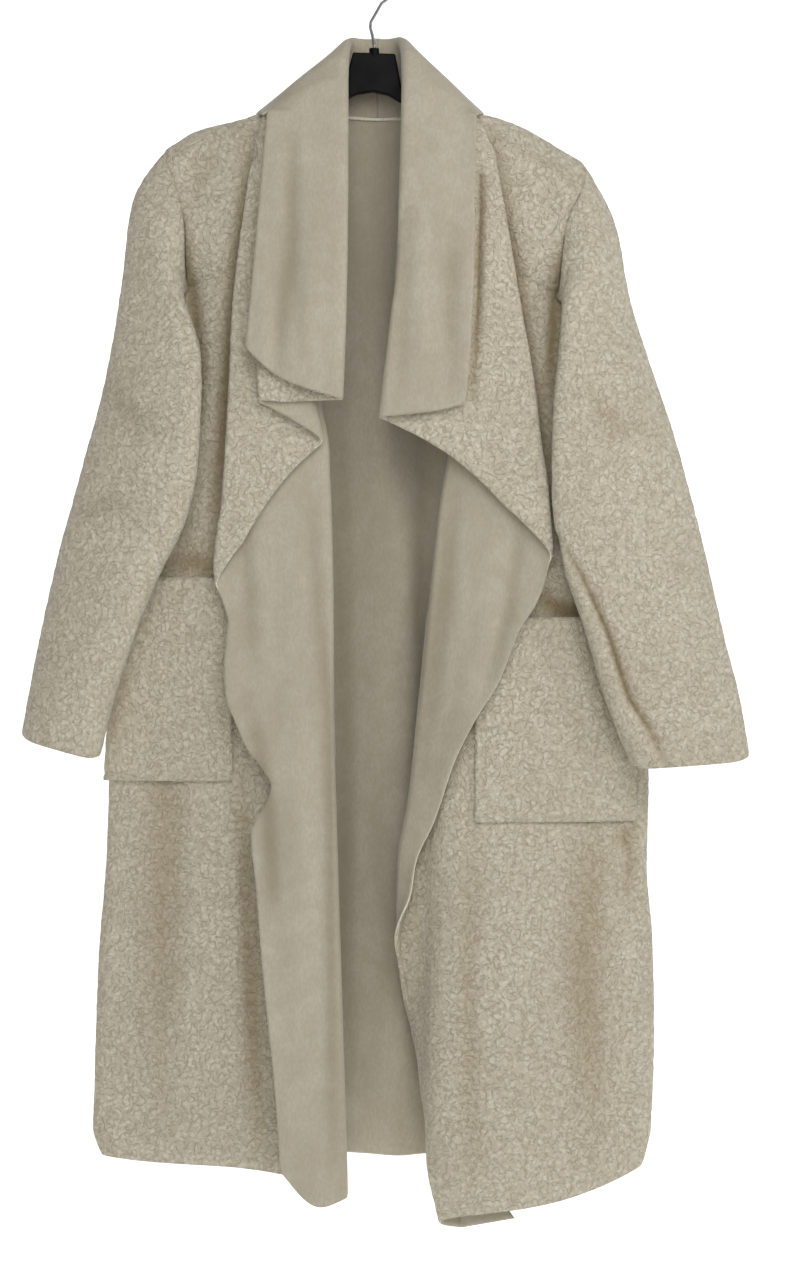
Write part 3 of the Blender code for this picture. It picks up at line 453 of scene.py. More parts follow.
def spline(chain: Array, places: Array) -> Array:
    """Evaluates a cubic B-spline that starts and ends on its end controls.

    Args:
        chain: Controls, one a row.
        places: Places along it, in controls.

    Returns:
        One point a place.
    """
    padded = np.vstack((2 * chain[0] - chain[1], chain, 2 * chain[-1] - chain[-2]))
    index = np.clip(places.astype(int), 0, len(chain) - 2)
    weights = cubic_weights((places - index)[:, None])
    return sum(weight * padded[index + k] for k, weight in enumerate(weights))


def through(values: Array, places: Array, closed: bool = False) -> Array:
    """Evaluates a Catmull-Rom curve through rows of values.

    Args:
        values: The first axis is the row.
        places: Places along it, in rows.
        closed: Whether the last row joins the first.

    Returns:
        One value a place.
    """
    count = len(values)
    if closed:
        padded = np.concatenate((values[-1:], values, values[:2]))
        index = np.clip(places.astype(int), 0, count - 1)
    else:
        padded = np.concatenate((2 * values[:1] - values[1:2], values, 2 * values[-1:] - values[-2:-1]))
        index = np.clip(places.astype(int), 0, count - 2)
    s = (places - index).reshape((-1,) + (1,) * (values.ndim - 1))
    a, b, c, d = (padded[index + k] for k in range(4))
    return 0.5 * (2 * b + (c - a) * s + (2 * a - 5 * b + 4 * c - d) * s**2 + (3 * b - a - 3 * c + d) * s**3)


def fine_places(lengths: Array, step: float, start: float = 0.0) -> Array:
    """Divides each interval of a grid so that no step is longer than asked.

    Args:
        lengths: The greatest length of each interval.
        step: The longest step.
        start: The place of the first row.

    Returns:
        Places, in intervals.
    """
    places = [start + i + np.arange(n) / n
              for i, n in enumerate(np.maximum(1, np.ceil(lengths / step)).astype(int))]
    return np.r_[np.concatenate(places), start + len(lengths)]


@dataclass
class Front:
    """One front with its extension and half of the collar, as rows of spline controls."""

    folds: dict[str, Sequence[FoldRow]]
    lines: dict[str, Sequence[LineRow]]
    hem: HemRow
    shoulder: Sequence[Place]
    fan: tuple[str, ...]
    rises: dict[str, float]
    side: int
    names: list[str] = field(init=False)

    def __post_init__(self) -> None:
        """Names the controls of a full row, from the side seam to the free edge."""
        names = ["seam", "wrap", "side_back", "side_fold", "b1", "b2", "b3"]
        names += ["ridge", "strip"] if "ridge" in self.lines else ["b4"]
        for first, second in zip((None,) + self.fan, self.fan + ("roll",)):
            if first:
                names += [first + " in", first + " out", first + " after", "to " + second]
            names += [second + " before"]
        self.names = names + ["roll in", "roll out", "roll after", "lapel 1", "lapel 2", "edge"]

    @property
    def armhole_column(self) -> int:
        """Returns the column that runs down the armhole."""
        return self.names.index("side_fold")

    @property
    def flap_column(self) -> int:
        """Returns the column of the long flap's free edge."""
        return self.names.index("fold_2 in")

    @property
    def collar_column(self) -> int:
        """Returns the column where the collar starts."""
        return self.names.index(self.fan[-1] + " out")

    def pace(self, row: float) -> float:
        """Tells how far down the fan a row lies: 0 at the neck, 1 at the fan's end."""
        return float(np.interp(row, (0, ROW_ARMPIT, ROW_FAN), (0.0, PACE_ARMPIT, 1.0)))

    def drop_on(self, top: float, fan_end: float, bottom: float, row: float) -> float:
        """Finds the drop of a row on a line.

        Args:
            top: The line's drop at the neck.
            fan_end: Its drop at the end of the fan.
            bottom: Its drop at the hem.
            row: The row.

        Returns:
            The drop.
        """
        armpit = mix(top, fan_end, PACE_ARMPIT)
        return float(np.interp(row, ROWS, (top, armpit, fan_end, bottom)))

    def side_drop(self, row: float) -> float:
        """Finds the drop of a row at the side, which passes the armpit at its own row."""
        armhole = self.lines["armhole"]
        return float(np.interp(row, ROWS, (armhole[0].drop, armhole[-1].drop, FAN_END, self.hem.side_seam)))

    def fold_point(self, name: str, row: float, leaves: bool) -> Array:
        """Finds a fold's point at a row.

        Args:
            name: The fold.
            row: The row.
            leaves: Whether the layer that leaves is meant.

        Returns:
            The point.
        """
        table = self.folds[name]
        ends = {"fold_1": FAN_END, "fold_2": FOLD_2_FAN_END[self.side]}
        drop = self.drop_on(table[0].drop, ends.get(name, table[-1].drop), table[-1].drop, row)
        x, arrives, leaving = smooth(table, drop)
        return np.array((x, leaving if leaves else arrives, drop))

    def line_point(self, name: str, row: float) -> Array:
        """Finds a point of a body line.

        Args:
            name: The line.
            row: The row.

        Returns:
            The point.
        """
        table = self.lines[name]
        drop = self.drop_on(table[0].drop, FAN_END, table[-1].drop, row)
        return np.array((*smooth(table, drop), drop))

    def side_points(self, row: float) -> list[Array]:
        """Finds the controls round the side.

        Args:
            row: The row.

        Returns:
            Four controls, from the side seam to the front of the fold.
        """
        drop = self.side_drop(row)
        if row < ROW_ARMPIT:
            return [np.array((*smooth(self.lines["armhole"], drop), drop))] * 4
        below = ease((row - ROW_FAN) / (ROW_HEM - ROW_FAN))
        fold_drop = drop + (self.hem.side_fold - self.hem.side_seam) * below
        x = smooth(self.lines["side_fold"], fold_drop)[0]
        wrap, seam_y = smooth(self.lines["side_wrap"], drop)
        half = SIDE_FOLD_HALF * mix(SIDE_FOLD_TIGHT, 1.0, ease((row - ROW_ARMPIT) / 2.0))
        return [np.array((x - self.side * wrap, seam_y, drop)),
                np.array((x - self.side * wrap * 0.5, seam_y - 1.0, drop)),
                np.array((x, half, fold_drop)), np.array((x, -half, fold_drop))]

    def body_points(self, row: float, start: Array, end: Array) -> list[Array]:
        """Finds the controls between the side and the first fold or ridge.

        Args:
            row: The row.
            start: The front of the side fold.
            end: The first fold or ridge.

        Returns:
            Four controls.
        """
        points = []
        depth = ease((row - ROW_ARMPIT) / (ROW_HEM - ROW_ARMPIT))
        last_rows = max(0.0, (row - ROW_FAN) / (ROW_HEM - ROW_FAN))
        last = self.lines["ridge"][-1] if "ridge" in self.lines else self.folds["fold_1"][-1]
        for fraction, hem_drop in zip(BODY_FRACTIONS, self.hem[2:]):
            point = mix(start, end, fraction)
            point[1] = start[1] + (end[1] - start[1]) * (1.0 - (1.0 - fraction)**BODY_CURVE)
            turns = BODY_WAVES * fraction + BODY_WAVE_START
            point[1] += BODY_WAVE * depth * math.sin(2.0 * math.pi * turns)
            if row > ROW_FAN:
                straight = self.hem.side_fold + (last.drop - self.hem.side_fold) * fraction
                point[2] += (hem_drop - straight) * last_rows**2
            shoulder = along_path(self.shoulder[::-1], fraction)
            if row < SHOULDER_ROWS:
                point[1] = mix(shoulder[1], point[1], row / SHOULDER_ROWS)
            if row < 1:
                point = mix(shoulder, point, row)
            points.append(point)
        return points

    def near(self, fold: Array, towards: Array) -> Array:
        """Finds the control that keeps a fold tight."""
        length = np.linalg.norm(towards - fold)
        return mix(fold, towards, min(NEAR_SHARE, NEAR_FOLD / max(length, 1e-6)))

    def controls(self, row: float) -> dict[str, Array]:
        """Finds every control of a full row at or below the neck point.

        Args:
            row: The row.

        Returns:
            Controls by name.
        """
        sides = self.side_points(row)
        points = dict(zip(("seam", "wrap", "side_back", "side_fold"), sides))
        if "ridge" in self.lines:
            ridge, strip = self.line_point("ridge", row), self.line_point("strip", row)
            body = self.body_points(row, sides[3], ridge)
            points.update(b1=body[0], b2=body[1], b3=body[2], ridge=ridge, strip=strip)
            previous = strip
        else:
            body = self.body_points(row, sides[3], self.fold_point("fold_1", row, False))
            points.update(b1=body[0], b2=body[1], b3=body[2], b4=body[3])
            previous = body[3]
        fan_row = min(row, ROW_FAN)
        for first, second in zip((None,) + self.fan, self.fan + ("roll",)):
            arrive = self.fold_point(second, row if second in ("fold_1", "fold_2") else fan_row, False)
            if first:
                first_row = row if first in ("fold_1", "fold_2") else fan_row
                reach = self.fold_point(first, first_row, True)
                middle = mix(reach, arrive, 0.5)
                middle[2] -= self.rises.get(second, 0.0) * self.pace(fan_row)**3
                points[first + " in"] = self.fold_point(first, first_row, False)
                points[first + " out"] = reach
                points[first + " after"] = self.near(reach, middle)
                points["to " + second] = middle
                previous = middle
            points[second + " before"] = self.near(arrive, previous)
        points["roll in"] = arrive
        points["roll out"] = self.fold_point("roll", fan_row, True)
        edge = self.fold_point("edge", fan_row, True)
        pace = self.pace(fan_row)
        for name, fraction, sags in zip(("lapel 1", "lapel 2"), LAPEL_FRACTIONS, LAPEL_SAGS):
            points[name] = mix(points["roll out"], edge, fraction)
            points[name][2] += self.rises.get("edge", 0.0) * pace**3 * sags
        points["lapel 1"][1] -= LAPEL_BULGE * pace
        points["roll after"] = self.near(points["roll out"], points["lapel 1"])
        points["edge"] = edge
        return points

    def collar_place(self, line: str, station: float) -> Array:
        """Finds a collar line's point.

        Args:
            line: The line.
            station: Rows above the neck point.

        Returns:
            The point.
        """
        rows = [(i, *values) for i, values in enumerate(COLLAR[line])]
        reach, y, drop = smooth(rows, min(station, COLLAR_ROWS) - 1.0)
        return np.array((mix(CENTRE_BACK_X, self.shoulder[0].x, reach), y, drop))

    def collar_chain(self, row: float) -> Array:
        """Finds the controls of a collar row.

        Args:
            row: A row from the neck point (0) up to the centre back.

        Returns:
            Controls from the neck seam to the free edge.
        """
        station, last = -row, self.fan[-1]
        if station >= 1.0:
            place = {line: self.collar_place(line, station) for line in COLLAR}
        else:
            base = self.controls(0)
            here = {"seam": base[last + " out"], "stand": base["to roll"], "roll_in": base["roll in"],
                    "roll_out": base["roll out"], "edge": base["edge"],
                    "fall": mix(base["roll out"], base["edge"], 0.5)}
            place = {line: mix(here[line], self.collar_place(line, 1.0), station) for line in COLLAR}
        lapels = []
        for f in LAPEL_FRACTIONS:
            lapels.append((1 - f) * (1 - 2 * f) * place["roll_out"] + 4 * f * (1 - f) * place["fall"]
                          + f * (2 * f - 1) * place["edge"])
        return np.array([place["seam"], self.near(place["seam"], place["stand"]), place["stand"],
                         self.near(place["roll_in"], place["stand"]), place["roll_in"], place["roll_out"],
                         self.near(place["roll_out"], lapels[0]), lapels[0], lapels[1], place["edge"]])

    def full_row(self, row: float, places: Array, first: int, last: int) -> Array:
        """Evaluates part of a row at or below the neck point.

        Args:
            row: The row.
            places: Fine columns.
            first: The first control that the row has.
            last: The last control that the row has.

        Returns:
            One point a column, NaN where the row has none.
        """
        points = self.controls(row)
        chain = np.array([points[name] for name in self.names[first:last + 1]])
        return self.spread(chain, places, first, last)

    def spread(self, chain: Array, places: Array, first: int, last: int) -> Array:
        """Evaluates a chain at the fine columns that it spans.

        Args:
            chain: The controls.
            places: Fine columns.
            first: The first control's column.
            last: The last control's column.

        Returns:
            One point a column, NaN outside the span.
        """
        cells = np.full((len(places), 3), np.nan)
        inside = (places > first - 1e-6) & (places < last + 1e-6)
        cells[inside] = spline(chain, places[inside] - first)
        return cells

    def row_cells(self, row: float, places: Array) -> Array:
        """Evaluates any row, and blends the kinds of row where they meet.

        Args:
            row: The row, from the centre back of the collar to the hem.
            places: Fine columns.

        Returns:
            One point a column, NaN where the row has none.
        """
        end = len(self.names) - 1
        if row < 0:
            cells = self.spread(self.collar_chain(row), places, self.collar_column, end)
            if row > -1:
                joined = self.full_row(0.0, places, self.armhole_column, end)
                cells = cells + (row + 1.0) * (
                    joined - self.spread(self.collar_chain(0.0), places, self.collar_column, end))
            return cells
        if row < ROW_ARMPIT:
            cells = self.full_row(row, places, self.armhole_column, end)
            share = row - (ROW_ARMPIT - 1)
            if share > 0:
                cells = mix(cells, self.full_row(row, places, 0, end), share)
            return cells
        if row <= ROW_FAN:
            return self.full_row(row, places, 0, end)
        cells = self.full_row(row, places, 0, self.flap_column)
        share = row - ROW_FAN
        if share < 1.0:
            cells = mix(self.full_row(row, places, 0, end), cells, share)
        return cells

    def coarse_grid(self) -> Array:
        """Evaluates the front at its own rows and columns."""
        columns = np.arange(len(self.names) * 1.0)
        return np.array([self.row_cells(row, columns) for row in np.arange(-COLLAR_ROWS, ROW_HEM + 1.0)])

    def fine_grid(self, step: float) -> tuple[Array, Array, Array]:
        """Evaluates the whole front.

        Args:
            step: The longest step of the grid.

        Returns:
            The grid of points, its rows' places and its columns' places.
        """
        coarse = self.coarse_grid()
        columns = fine_places(np.nanmax(gaps(coarse, 1), axis=0), step)
        rows = fine_places(np.nan_to_num(gaps(coarse, 0)).max(axis=1), step, -float(COLLAR_ROWS))
        return np.array([self.row_cells(row, columns) for row in rows]), rows, columns


@dataclass
class Back:
    """The back panel, carried over the shoulders to the front shoulder seams."""

    right: Front
    left: Front

    def column_places(self) -> list[tuple[Array, Array, float]]:
        """Finds, for each column, its seam point, its ridge point and its share of ridge.

        Returns:
            One entry a column, from the wearer's right to the left.
        """
        columns = []
        for front, ridge in ((self.right, RIGHT_RIDGE), (self.left, LEFT_RIDGE)):
            half = []
            over = ridge[::-1]
            for fraction in (0.0,) + BODY_FRACTIONS + (1.0,):
                half.append((along_path(front.shoulder[::-1], fraction), along_path(over, fraction), 1.0))
            for station in range(1, COLLAR_ROWS + 1):
                half.append((front.collar_place("seam", station), along_path(over, 1.0),
                             RIDGE_SHARES.get(station, 0.0)))
            columns.append(half)
        return columns[0] + columns[1][-2::-1]

    def edge_place(self, front: Front, armhole: Sequence[Place], row: int) -> Array:
        """Finds the back's own edge: the armhole, then the side seam.

        Args:
            front: The front that it is sewn to.
            armhole: The back's armhole.
            row: The row.

        Returns:
            The point.
        """
        if row <= ROW_ARMPIT:
            return smooth([(i, *place) for i, place in enumerate(armhole)], row)
        return front.side_points(row)[0]

    def point(self, columns: list[tuple[Array, Array, float]], column: int, row: int) -> Array:
        """Finds a point of the back.

        Args:
            columns: The columns' places.
            column: The column.
            row: The row.

        Returns:
            The point.
        """
        seam, ridge, over = columns[column]
        start = self.edge_place(self.right, RIGHT_BACK_ARMHOLE, row)
        end = self.edge_place(self.left, LEFT_BACK_ARMHOLE, row)
        if column in (0, len(columns) - 1):
            return start if column == 0 else end
        if row == 0:
            return seam
        share = (seam[0] - columns[0][0][0]) / (columns[-1][0][0] - columns[0][0][0])
        behind = np.array((seam[0], BEHIND_RIDGE, ridge[2] + BEHIND_RIDGE))
        if over < 1.0:
            behind = mix(seam + np.array(BELOW_NECK), behind, over)
        if row == 1:
            return ridge if over == 1.0 else mix(seam + np.array(UNDER_NECK), ridge, over)
        if row == 2:
            return behind
        level = mix(start[2], end[2], share)
        drop = level
        if row < ROW_ARMPIT:
            armpit = mix(self.right.side_drop(ROW_ARMPIT), self.left.side_drop(ROW_ARMPIT), share)
            drop = behind[2] + (armpit - behind[2]) * (row - 2) / (ROW_ARMPIT - 2)
        if row > ROW_FAN:
            hem = mix(self.right.hem.side_seam, self.left.hem.side_seam, share)
            hem += BACK_HEM_SAG * math.sin(math.pi * share)
            drop += (hem - level) * ((row - ROW_FAN) / (ROW_HEM - ROW_FAN))**6
        y = self.depth(share, drop, start[1], end[1])
        y = mix(behind[1], y, ease((row - 2) / 4.0)) if row < ROW_ARMPIT else y
        return np.array((start[0] + (end[0] - start[0]) * share, y, drop))

    def depth(self, share: float, drop: float, y_start: float, y_end: float) -> float:
        """Tells how far back the cloth hangs, with its soft vertical waves.

        Args:
            share: The part of the way across.
            drop: The drop.
            y_start: The depth of the right edge.
            y_end: The depth of the left edge.

        Returns:
            The depth.
        """
        base = smooth(BACK_DEPTHS, drop)[0]
        swing = smooth(BACK_SWINGS, drop)[0]
        side = mix(y_start, y_end, share)
        across = 1.0 - abs(2.0 * share - 1.0)**3
        wave = -math.cos(2.0 * math.pi * (share - 0.50) / BACK_WAVE)
        wave -= BACK_SLOW_SHARE * math.sin(2.0 * math.pi * share / BACK_SLOW_WAVE)
        return side + (base - side) * across + swing * wave * across

    def coarse_grid(self) -> Array:
        """Finds the coarse grid of the back.

        Returns:
            Rows of points.
        """
        columns = self.column_places()
        return np.array([[self.point(columns, column, row) for column in range(len(columns))]
                         for row in range(ROW_HEM + 1)])

    def fine_grid(self, coarse: Array, step: float) -> Array:
        """Evaluates the back on a fine grid.

        Args:
            coarse: The coarse grid.
            step: The longest step.

        Returns:
            Rows of points.
        """
        rows = through(coarse, fine_places(gaps(coarse, 0).max(axis=1), step))
        across = gaps(coarse, 1).max(axis=0)
        return through(rows.transpose(1, 0, 2), fine_places(across, step)).transpose(1, 0, 2)


@dataclass
class Sleeve:
    """A set-in sleeve: leaning ovals from the armhole to the cuff."""

    table: Sequence[RingRow]
    front: Front
    back_edge: Array

    def armhole(self) -> tuple[Array, Array]:
        """Finds the closed armhole, from the shoulder ridge down the front and up the back.

        Returns:
            Its points and their angles: 0 at the ridge, half a turn at the armpit.
        """
        column, coarse = self.front.armhole_column, self.front.coarse_grid()
        ring = [self.back_edge[1]]
        ring += [coarse[COLLAR_ROWS + row][column] for row in range(ROW_ARMPIT + 1)]
        ring += [coarse[COLLAR_ROWS + ROW_ARMPIT][column - 1]]
        ring += [self.back_edge[row] for row in range(ROW_ARMPIT - 1, 1, -1)]
        points = np.array(ring)
        travelled = lengths_along(np.vstack((points, points[:1])))
        bottom = (travelled[ROW_ARMPIT + 1] + travelled[ROW_ARMPIT + 2]) / 2.0
        angles = np.where(travelled[:-1] <= bottom, travelled[:-1] / bottom,
                          1.0 + (travelled[:-1] - bottom) / (travelled[-1] - bottom))
        return points, angles * math.pi

    def oval(self, place: float, angles: Array) -> Array:
        """Evaluates one oval.

        Args:
            place: The place along the table.
            angles: Angles round it.

        Returns:
            One point an angle.
        """
        row = RingRow(*smooth([(i, *row) for i, row in enumerate(self.table)], place))
        cosine, sine = np.cos(angles), np.sin(angles)
        centre = np.array(((row.x_out + row.x_in) / 2, row.y_mid, (row.drop_out + row.drop_in) / 2))
        half = np.array(((row.x_out - row.x_in) / 2, row.lean, (row.drop_out - row.drop_in) / 2))
        flat = np.sign(sine) * np.abs(sine)**OVAL_SQUARENESS
        cuff = CUFF_ROUND * max(0.0, place - len(self.table) + 2.0)
        centre = centre - np.outer(cuff * cosine**8, (0, 0, 1))
        return centre + cosine[:, None] * half - flat[:, None] * np.array((0.0, row.half_depth, 0.0))

    def fine_grid(self, step: float) -> Array:
        """Evaluates the sleeve.

        Args:
            step: The longest step.

        Returns:
            Rings of points.
        """
        points, angles = self.armhole()
        places = fine_places(gaps(np.vstack((points, points[:1])), 0), step)[:-1]
        first = through(points, places, closed=True)
        turn = np.interp(places, np.arange(len(points) + 1), np.r_[angles, 2 * math.pi])
        rings = np.array([first] + [self.oval(k, turn) for k in range(len(self.table))])
        return through(rings, fine_places(gaps(rings, 0).max(axis=1), step))


@dataclass
class Pocket:
    """A patch pocket: the front's own points, moved out, at one cut size."""

    front: Front
    place: PocketPlace

    def level_section(self, grid: Array, drop: float) -> Array:
        """Cuts the front's body level.

        Args:
            grid: The front's fine grid from the armpit down to the first fold.
            drop: The level.

        Returns:
            Points from the side seam to the first fold.
        """
        section = [[np.interp(drop, grid[:, j, 2], grid[:, j, axis]) for axis in range(2)]
                   for j in range(grid.shape[1])]
        return np.column_stack((np.array(section), np.full(len(section), drop)))

    def fine_grid(self, grid: Array, step: float) -> tuple[Array, Array, Array]:
        """Lays the pocket on the front.

        Args:
            grid: The front's fine grid from the armpit down to the first fold.
            step: The longest step.

        Returns:
            Rows of points, with the distance from the side edges and from the bottom edge.
        """
        side = self.front.side
        rows = np.linspace(0.0, 1.0, int(POCKET_HEIGHT / step) + 1)
        columns = np.linspace(0.0, 1.0, int(POCKET_WIDTH / step) + 1)
        points = []
        for down in rows:
            section = self.level_section(grid, self.place.top + POCKET_HEIGHT * down)
            lengths = lengths_along(section)
            turn = int(np.argmax(section[:, 0] * side))
            inward = section[turn:, 0] * side
            start = np.interp(self.place.inner_edge * side, inward[::-1], lengths[turn:][::-1])
            keys = start - POCKET_WIDTH * columns
            here, ahead, behind = (
                np.column_stack([np.interp(keys + shift, lengths, section[:, axis]) for axis in range(3)])
                for shift in (0.0, TANGENT_REACH, -TANGENT_REACH))
            tangent = ahead - behind
            normal = np.column_stack((-side * tangent[:, 1], side * tangent[:, 0], np.zeros(len(keys))))
            normal /= np.linalg.norm(normal, axis=1)[:, None]
            lift = (POCKET_LIFT + POCKET_BULGE * np.sin(math.pi * columns) * (1.0 - down)
                    + FOLD_SLACK * np.exp(-((keys - lengths[turn]) / FOLD_REACH)**2))
            points.append(here + normal * lift[:, None])
        from_sides = np.minimum(columns, 1.0 - columns)[None, :] * POCKET_WIDTH
        from_bottom = (1.0 - rows)[:, None] * POCKET_HEIGHT
        shape = (len(rows), len(columns))
        return np.array(points), np.broadcast_to(from_sides, shape), np.broadcast_to(from_bottom, shape)


CREASE_END = 0.03


@dataclass(frozen=True)
class Crease:
    """A soft fold pressed into a sheet, along a line across its front."""

    line: Sequence[tuple[float, float]]
    width: float
    depth: float
    nearest: float
    farthest: float

    def push(self, points: Array) -> Array:
        """Tells how far the crease pushes each point against the curled face.

        Args:
            points: Points in millimetres, as x, y and drop.

        Returns:
            A distance a point.
        """
        flat = points[:, (0, 2)]
        line = np.array(self.line, dtype=float)
        steps = gaps(line, 0)
        away, along = np.full(len(flat), np.inf), np.zeros(len(flat))
        for k, (a, b) in enumerate(zip(line[:-1], line[1:])):
            share = np.clip((flat - a) @ (b - a) / steps[k]**2, 0.0, 1.0)
            distance = np.linalg.norm(flat - (a + share[:, None] * (b - a)), axis=1)
            nearer = distance < away
            away = np.where(nearer, distance, away)
            along = np.where(nearer, (steps[:k].sum() + share * steps[k]) / steps.sum(), along)
        taper = np.sin(math.pi * np.clip(along, CREASE_END, 1.0 - CREASE_END))**0.5
        layer = (points[:, 1] > self.nearest) & (points[:, 1] < self.farthest)
        return self.depth * taper * np.exp(-(away / self.width)**2) * layer


class Lump(NamedTuple):
    """A noise: how high it stands in millimetres, its lumps a metre, and its own shift."""

    size: float
    scale: float
    offset: float


WAVE = Lump(1.3, 1.0, 5.0)
WAVE_STRETCH = (13.0, 13.0, 3.6)
RIPPLE = Lump(0.9, 26.0, 3.0)
POCKET_RIPPLE = Lump(0.3, 26.0, 3.0)
PILE = (Lump(0.55, 130.0, 11.0), Lump(0.275, 240.0, 23.0))
OUTER_ROUND = (0.35, 0.85, 1.0)
INNER_ROUND = (0.5, 1.0)
NEAR_SEAM = 4


@dataclass
class ClothPiece:
    """A sheet of double-faced cloth: a grid given a curled face, a brushed face and raw edges."""

    name: str
    grid: Array
    face: Face
    closed: bool = False
    seams: Optional[Array] = None
    creases: Sequence[Crease] = ()
    relief: Optional[Array] = None
    ripple: Lump = RIPPLE
    outer: Optional[Array] = field(init=False, default=None)

    def quads(self, index: Array) -> Array:
        """Lists the grid's faces.

        Args:
            index: The number of each grid point, -1 where there is none.

        Returns:
            Four corners a face, turned so that the normal leaves the curled face.
        """
        after = np.roll(index, -1, axis=1) if self.closed else index[:, 1:]
        here = index if self.closed else index[:, :-1]
        corners = np.stack((here[:-1], here[1:], after[1:], after[:-1]), axis=-1).reshape(-1, 4)
        corners = corners[(corners >= 0).all(axis=1)]
        return corners if self.face is Face.ALONG else corners[:, ::-1]

    @staticmethod
    def normals(points: Array, quads: Array) -> Array:
        """Averages the faces' normals at each point.

        Args:
            points: Points.
            quads: Faces.

        Returns:
            One unit normal a point.
        """
        corner = points[quads]
        face = np.cross(corner[:, 2] - corner[:, 0], corner[:, 3] - corner[:, 1])
        total = np.zeros_like(points)
        for k in range(4):
            np.add.at(total, quads[:, k], face)
        return total / np.maximum(np.linalg.norm(total, axis=1), 1e-12)[:, None]

    @staticmethod
    def rim(quads: Array) -> Array:
        """Finds the directed edges that only one face uses.

        Args:
            quads: Faces.

        Returns:
            Two points an edge.
        """
        edges = np.concatenate([quads[:, (k, (k + 1) % 4)] for k in range(4)])
        size = int(edges.max()) + 1
        keys = edges[:, 0].astype(np.int64) * size + edges[:, 1]
        back = edges[:, 1].astype(np.int64) * size + edges[:, 0]
        return edges[~np.isin(keys, back)]

    def spread_from(self, start: Array, quads: Array, rings: int) -> Array:
        """Counts how many faces away from a set of points each point lies.

        Args:
            start: A flag a point.
            quads: Faces.
            rings: The greatest count.

        Returns:
            0 on the set, up to the greatest count.
        """
        count = np.where(start, 0, rings)
        for ring in range(1, rings):
            near = (count[quads] < ring).any(axis=1)
            touched = np.zeros(len(start), dtype=bool)
            touched[quads[near].ravel()] = True
            count = np.where(touched & (count > ring), ring, count)
        return count

    def build(self, finishes: Sequence[bpy.types.Material]) -> bpy.types.Object:
        """Makes the sheet's object.

        Args:
            finishes: The materials of the curled face, the brushed face and the raw edge.

        Returns:
            The new object.
        """
        present = ~np.isnan(self.grid[..., 0])
        index = np.full(present.shape, -1)
        index[present] = np.arange(present.sum())
        points = self.grid[present]
        quads = self.quads(index)
        used = np.zeros(len(points), dtype=bool)
        used[quads.ravel()] = True
        renumber = np.cumsum(used) - 1
        quads, points = renumber[quads], points[used]
        world = points * TO_METRES
        normal = self.normals(world, quads)
        rim = self.rim(quads)
        on_rim = np.zeros(len(points), dtype=bool)
        on_rim[rim.ravel()] = True
        sewn = self.seams[present][used] if self.seams is not None else np.zeros(len(points), dtype=bool)
        from_rim = self.spread_from(on_rim, quads, len(SEAM_DIP))
        from_seam = self.spread_from(sewn, quads, len(SEAM_DIP))

        push = WAVE.size * self.noise_at(world * np.array(WAVE_STRETCH), WAVE)
        sunk = np.zeros(len(points))
        for crease in self.creases:
            sunk += crease.push(points)
        sunk += np.array(SEAM_DIP)[np.minimum(from_seam, len(SEAM_DIP) - 1)]
        push -= sunk
        free = np.clip(1.0 - from_rim / len(SEAM_DIP), 0.0, 1.0) * (from_seam > NEAR_SEAM)
        push += self.ripple.size * free * self.noise_at(world, self.ripple)
        world = world + normal * (push * MM)[:, None]
        normal = self.normals(world, quads)

        half = CLOTH / 2.0
        lumps = sum(lump.size * self.noise_at(world, lump) for lump in PILE)
        outer = (half + lumps) * np.array(OUTER_ROUND)[np.minimum(from_rim, len(OUTER_ROUND) - 1)]
        if self.relief is not None:
            outer += self.relief[present][used]
        inner = half * np.array(INNER_ROUND)[np.minimum(from_rim, len(INNER_ROUND) - 1)]

        count = len(world)
        self.outer = world + normal * (outer * MM)[:, None]
        verts = np.concatenate((self.outer, world - normal * (inner * MM)[:, None]))
        walls = np.column_stack((rim[:, 1], rim[:, 0], rim[:, 0] + count, rim[:, 1] + count))
        faces = np.concatenate((quads, quads[:, ::-1] + count, walls))
        slots = np.repeat([Slot.CURLED.value, Slot.BRUSHED.value, Slot.RAW_EDGE.value],
                          [len(quads), len(quads), len(walls)])
        item = new_mesh(self.name + "_cloth", verts, faces, finishes, slots)
        # Painted shade: the sunk depth of creases and seams is kept on the points, and the finishes darken
        # the colour there.
        painted_shade_amount = item.data.attributes.new("painted_shade_amount", "FLOAT", "POINT")
        painted_crease_shade = np.clip(np.concatenate((sunk, -sunk)) / DEEP, 0.0, 1.0)
        painted_shade_amount.data.foreach_set("value", painted_crease_shade.astype(np.float32))
        return item

    @staticmethod
    def noise_at(points: Array, lump: Lump) -> Array:
        """Reads a smooth noise at points in metres, about -1 to 1."""
        return np.array([noise.noise(Vector(point)) for point in points * lump.scale + lump.offset])


def new_mesh(name: str, verts: Array, faces: Array, finishes: Sequence[bpy.types.Material],
             slots: Optional[Array] = None) -> bpy.types.Object:
    """Makes a smooth mesh object from arrays.

    Args:
        name: The object's name.
        verts: Points in metres.
        faces: Corners a face.
        finishes: Its materials.
        slots: The material of each face.

    Returns:
        The new object.
    """
    mesh = bpy.data.meshes.new(name)
    mesh.from_pydata(verts.tolist(), [], faces.tolist())
    for finish in finishes:
        mesh.materials.append(finish)
    if slots is not None:
        mesh.polygons.foreach_set("material_index", slots.astype(np.int32))
    mesh.shade_smooth()
    mesh.update()
    item = bpy.data.objects.new(name, mesh)
    bpy.context.scene.collection.objects.link(item)
    return item


def report(item: bpy.types.Object) -> None:
    """Logs a piece's name and triangles."""
    LOG.info("%s: %d triangles", item.name, sum(len(face.vertices) - 2 for face in item.data.polygons))


Value = Union["Sock", float]


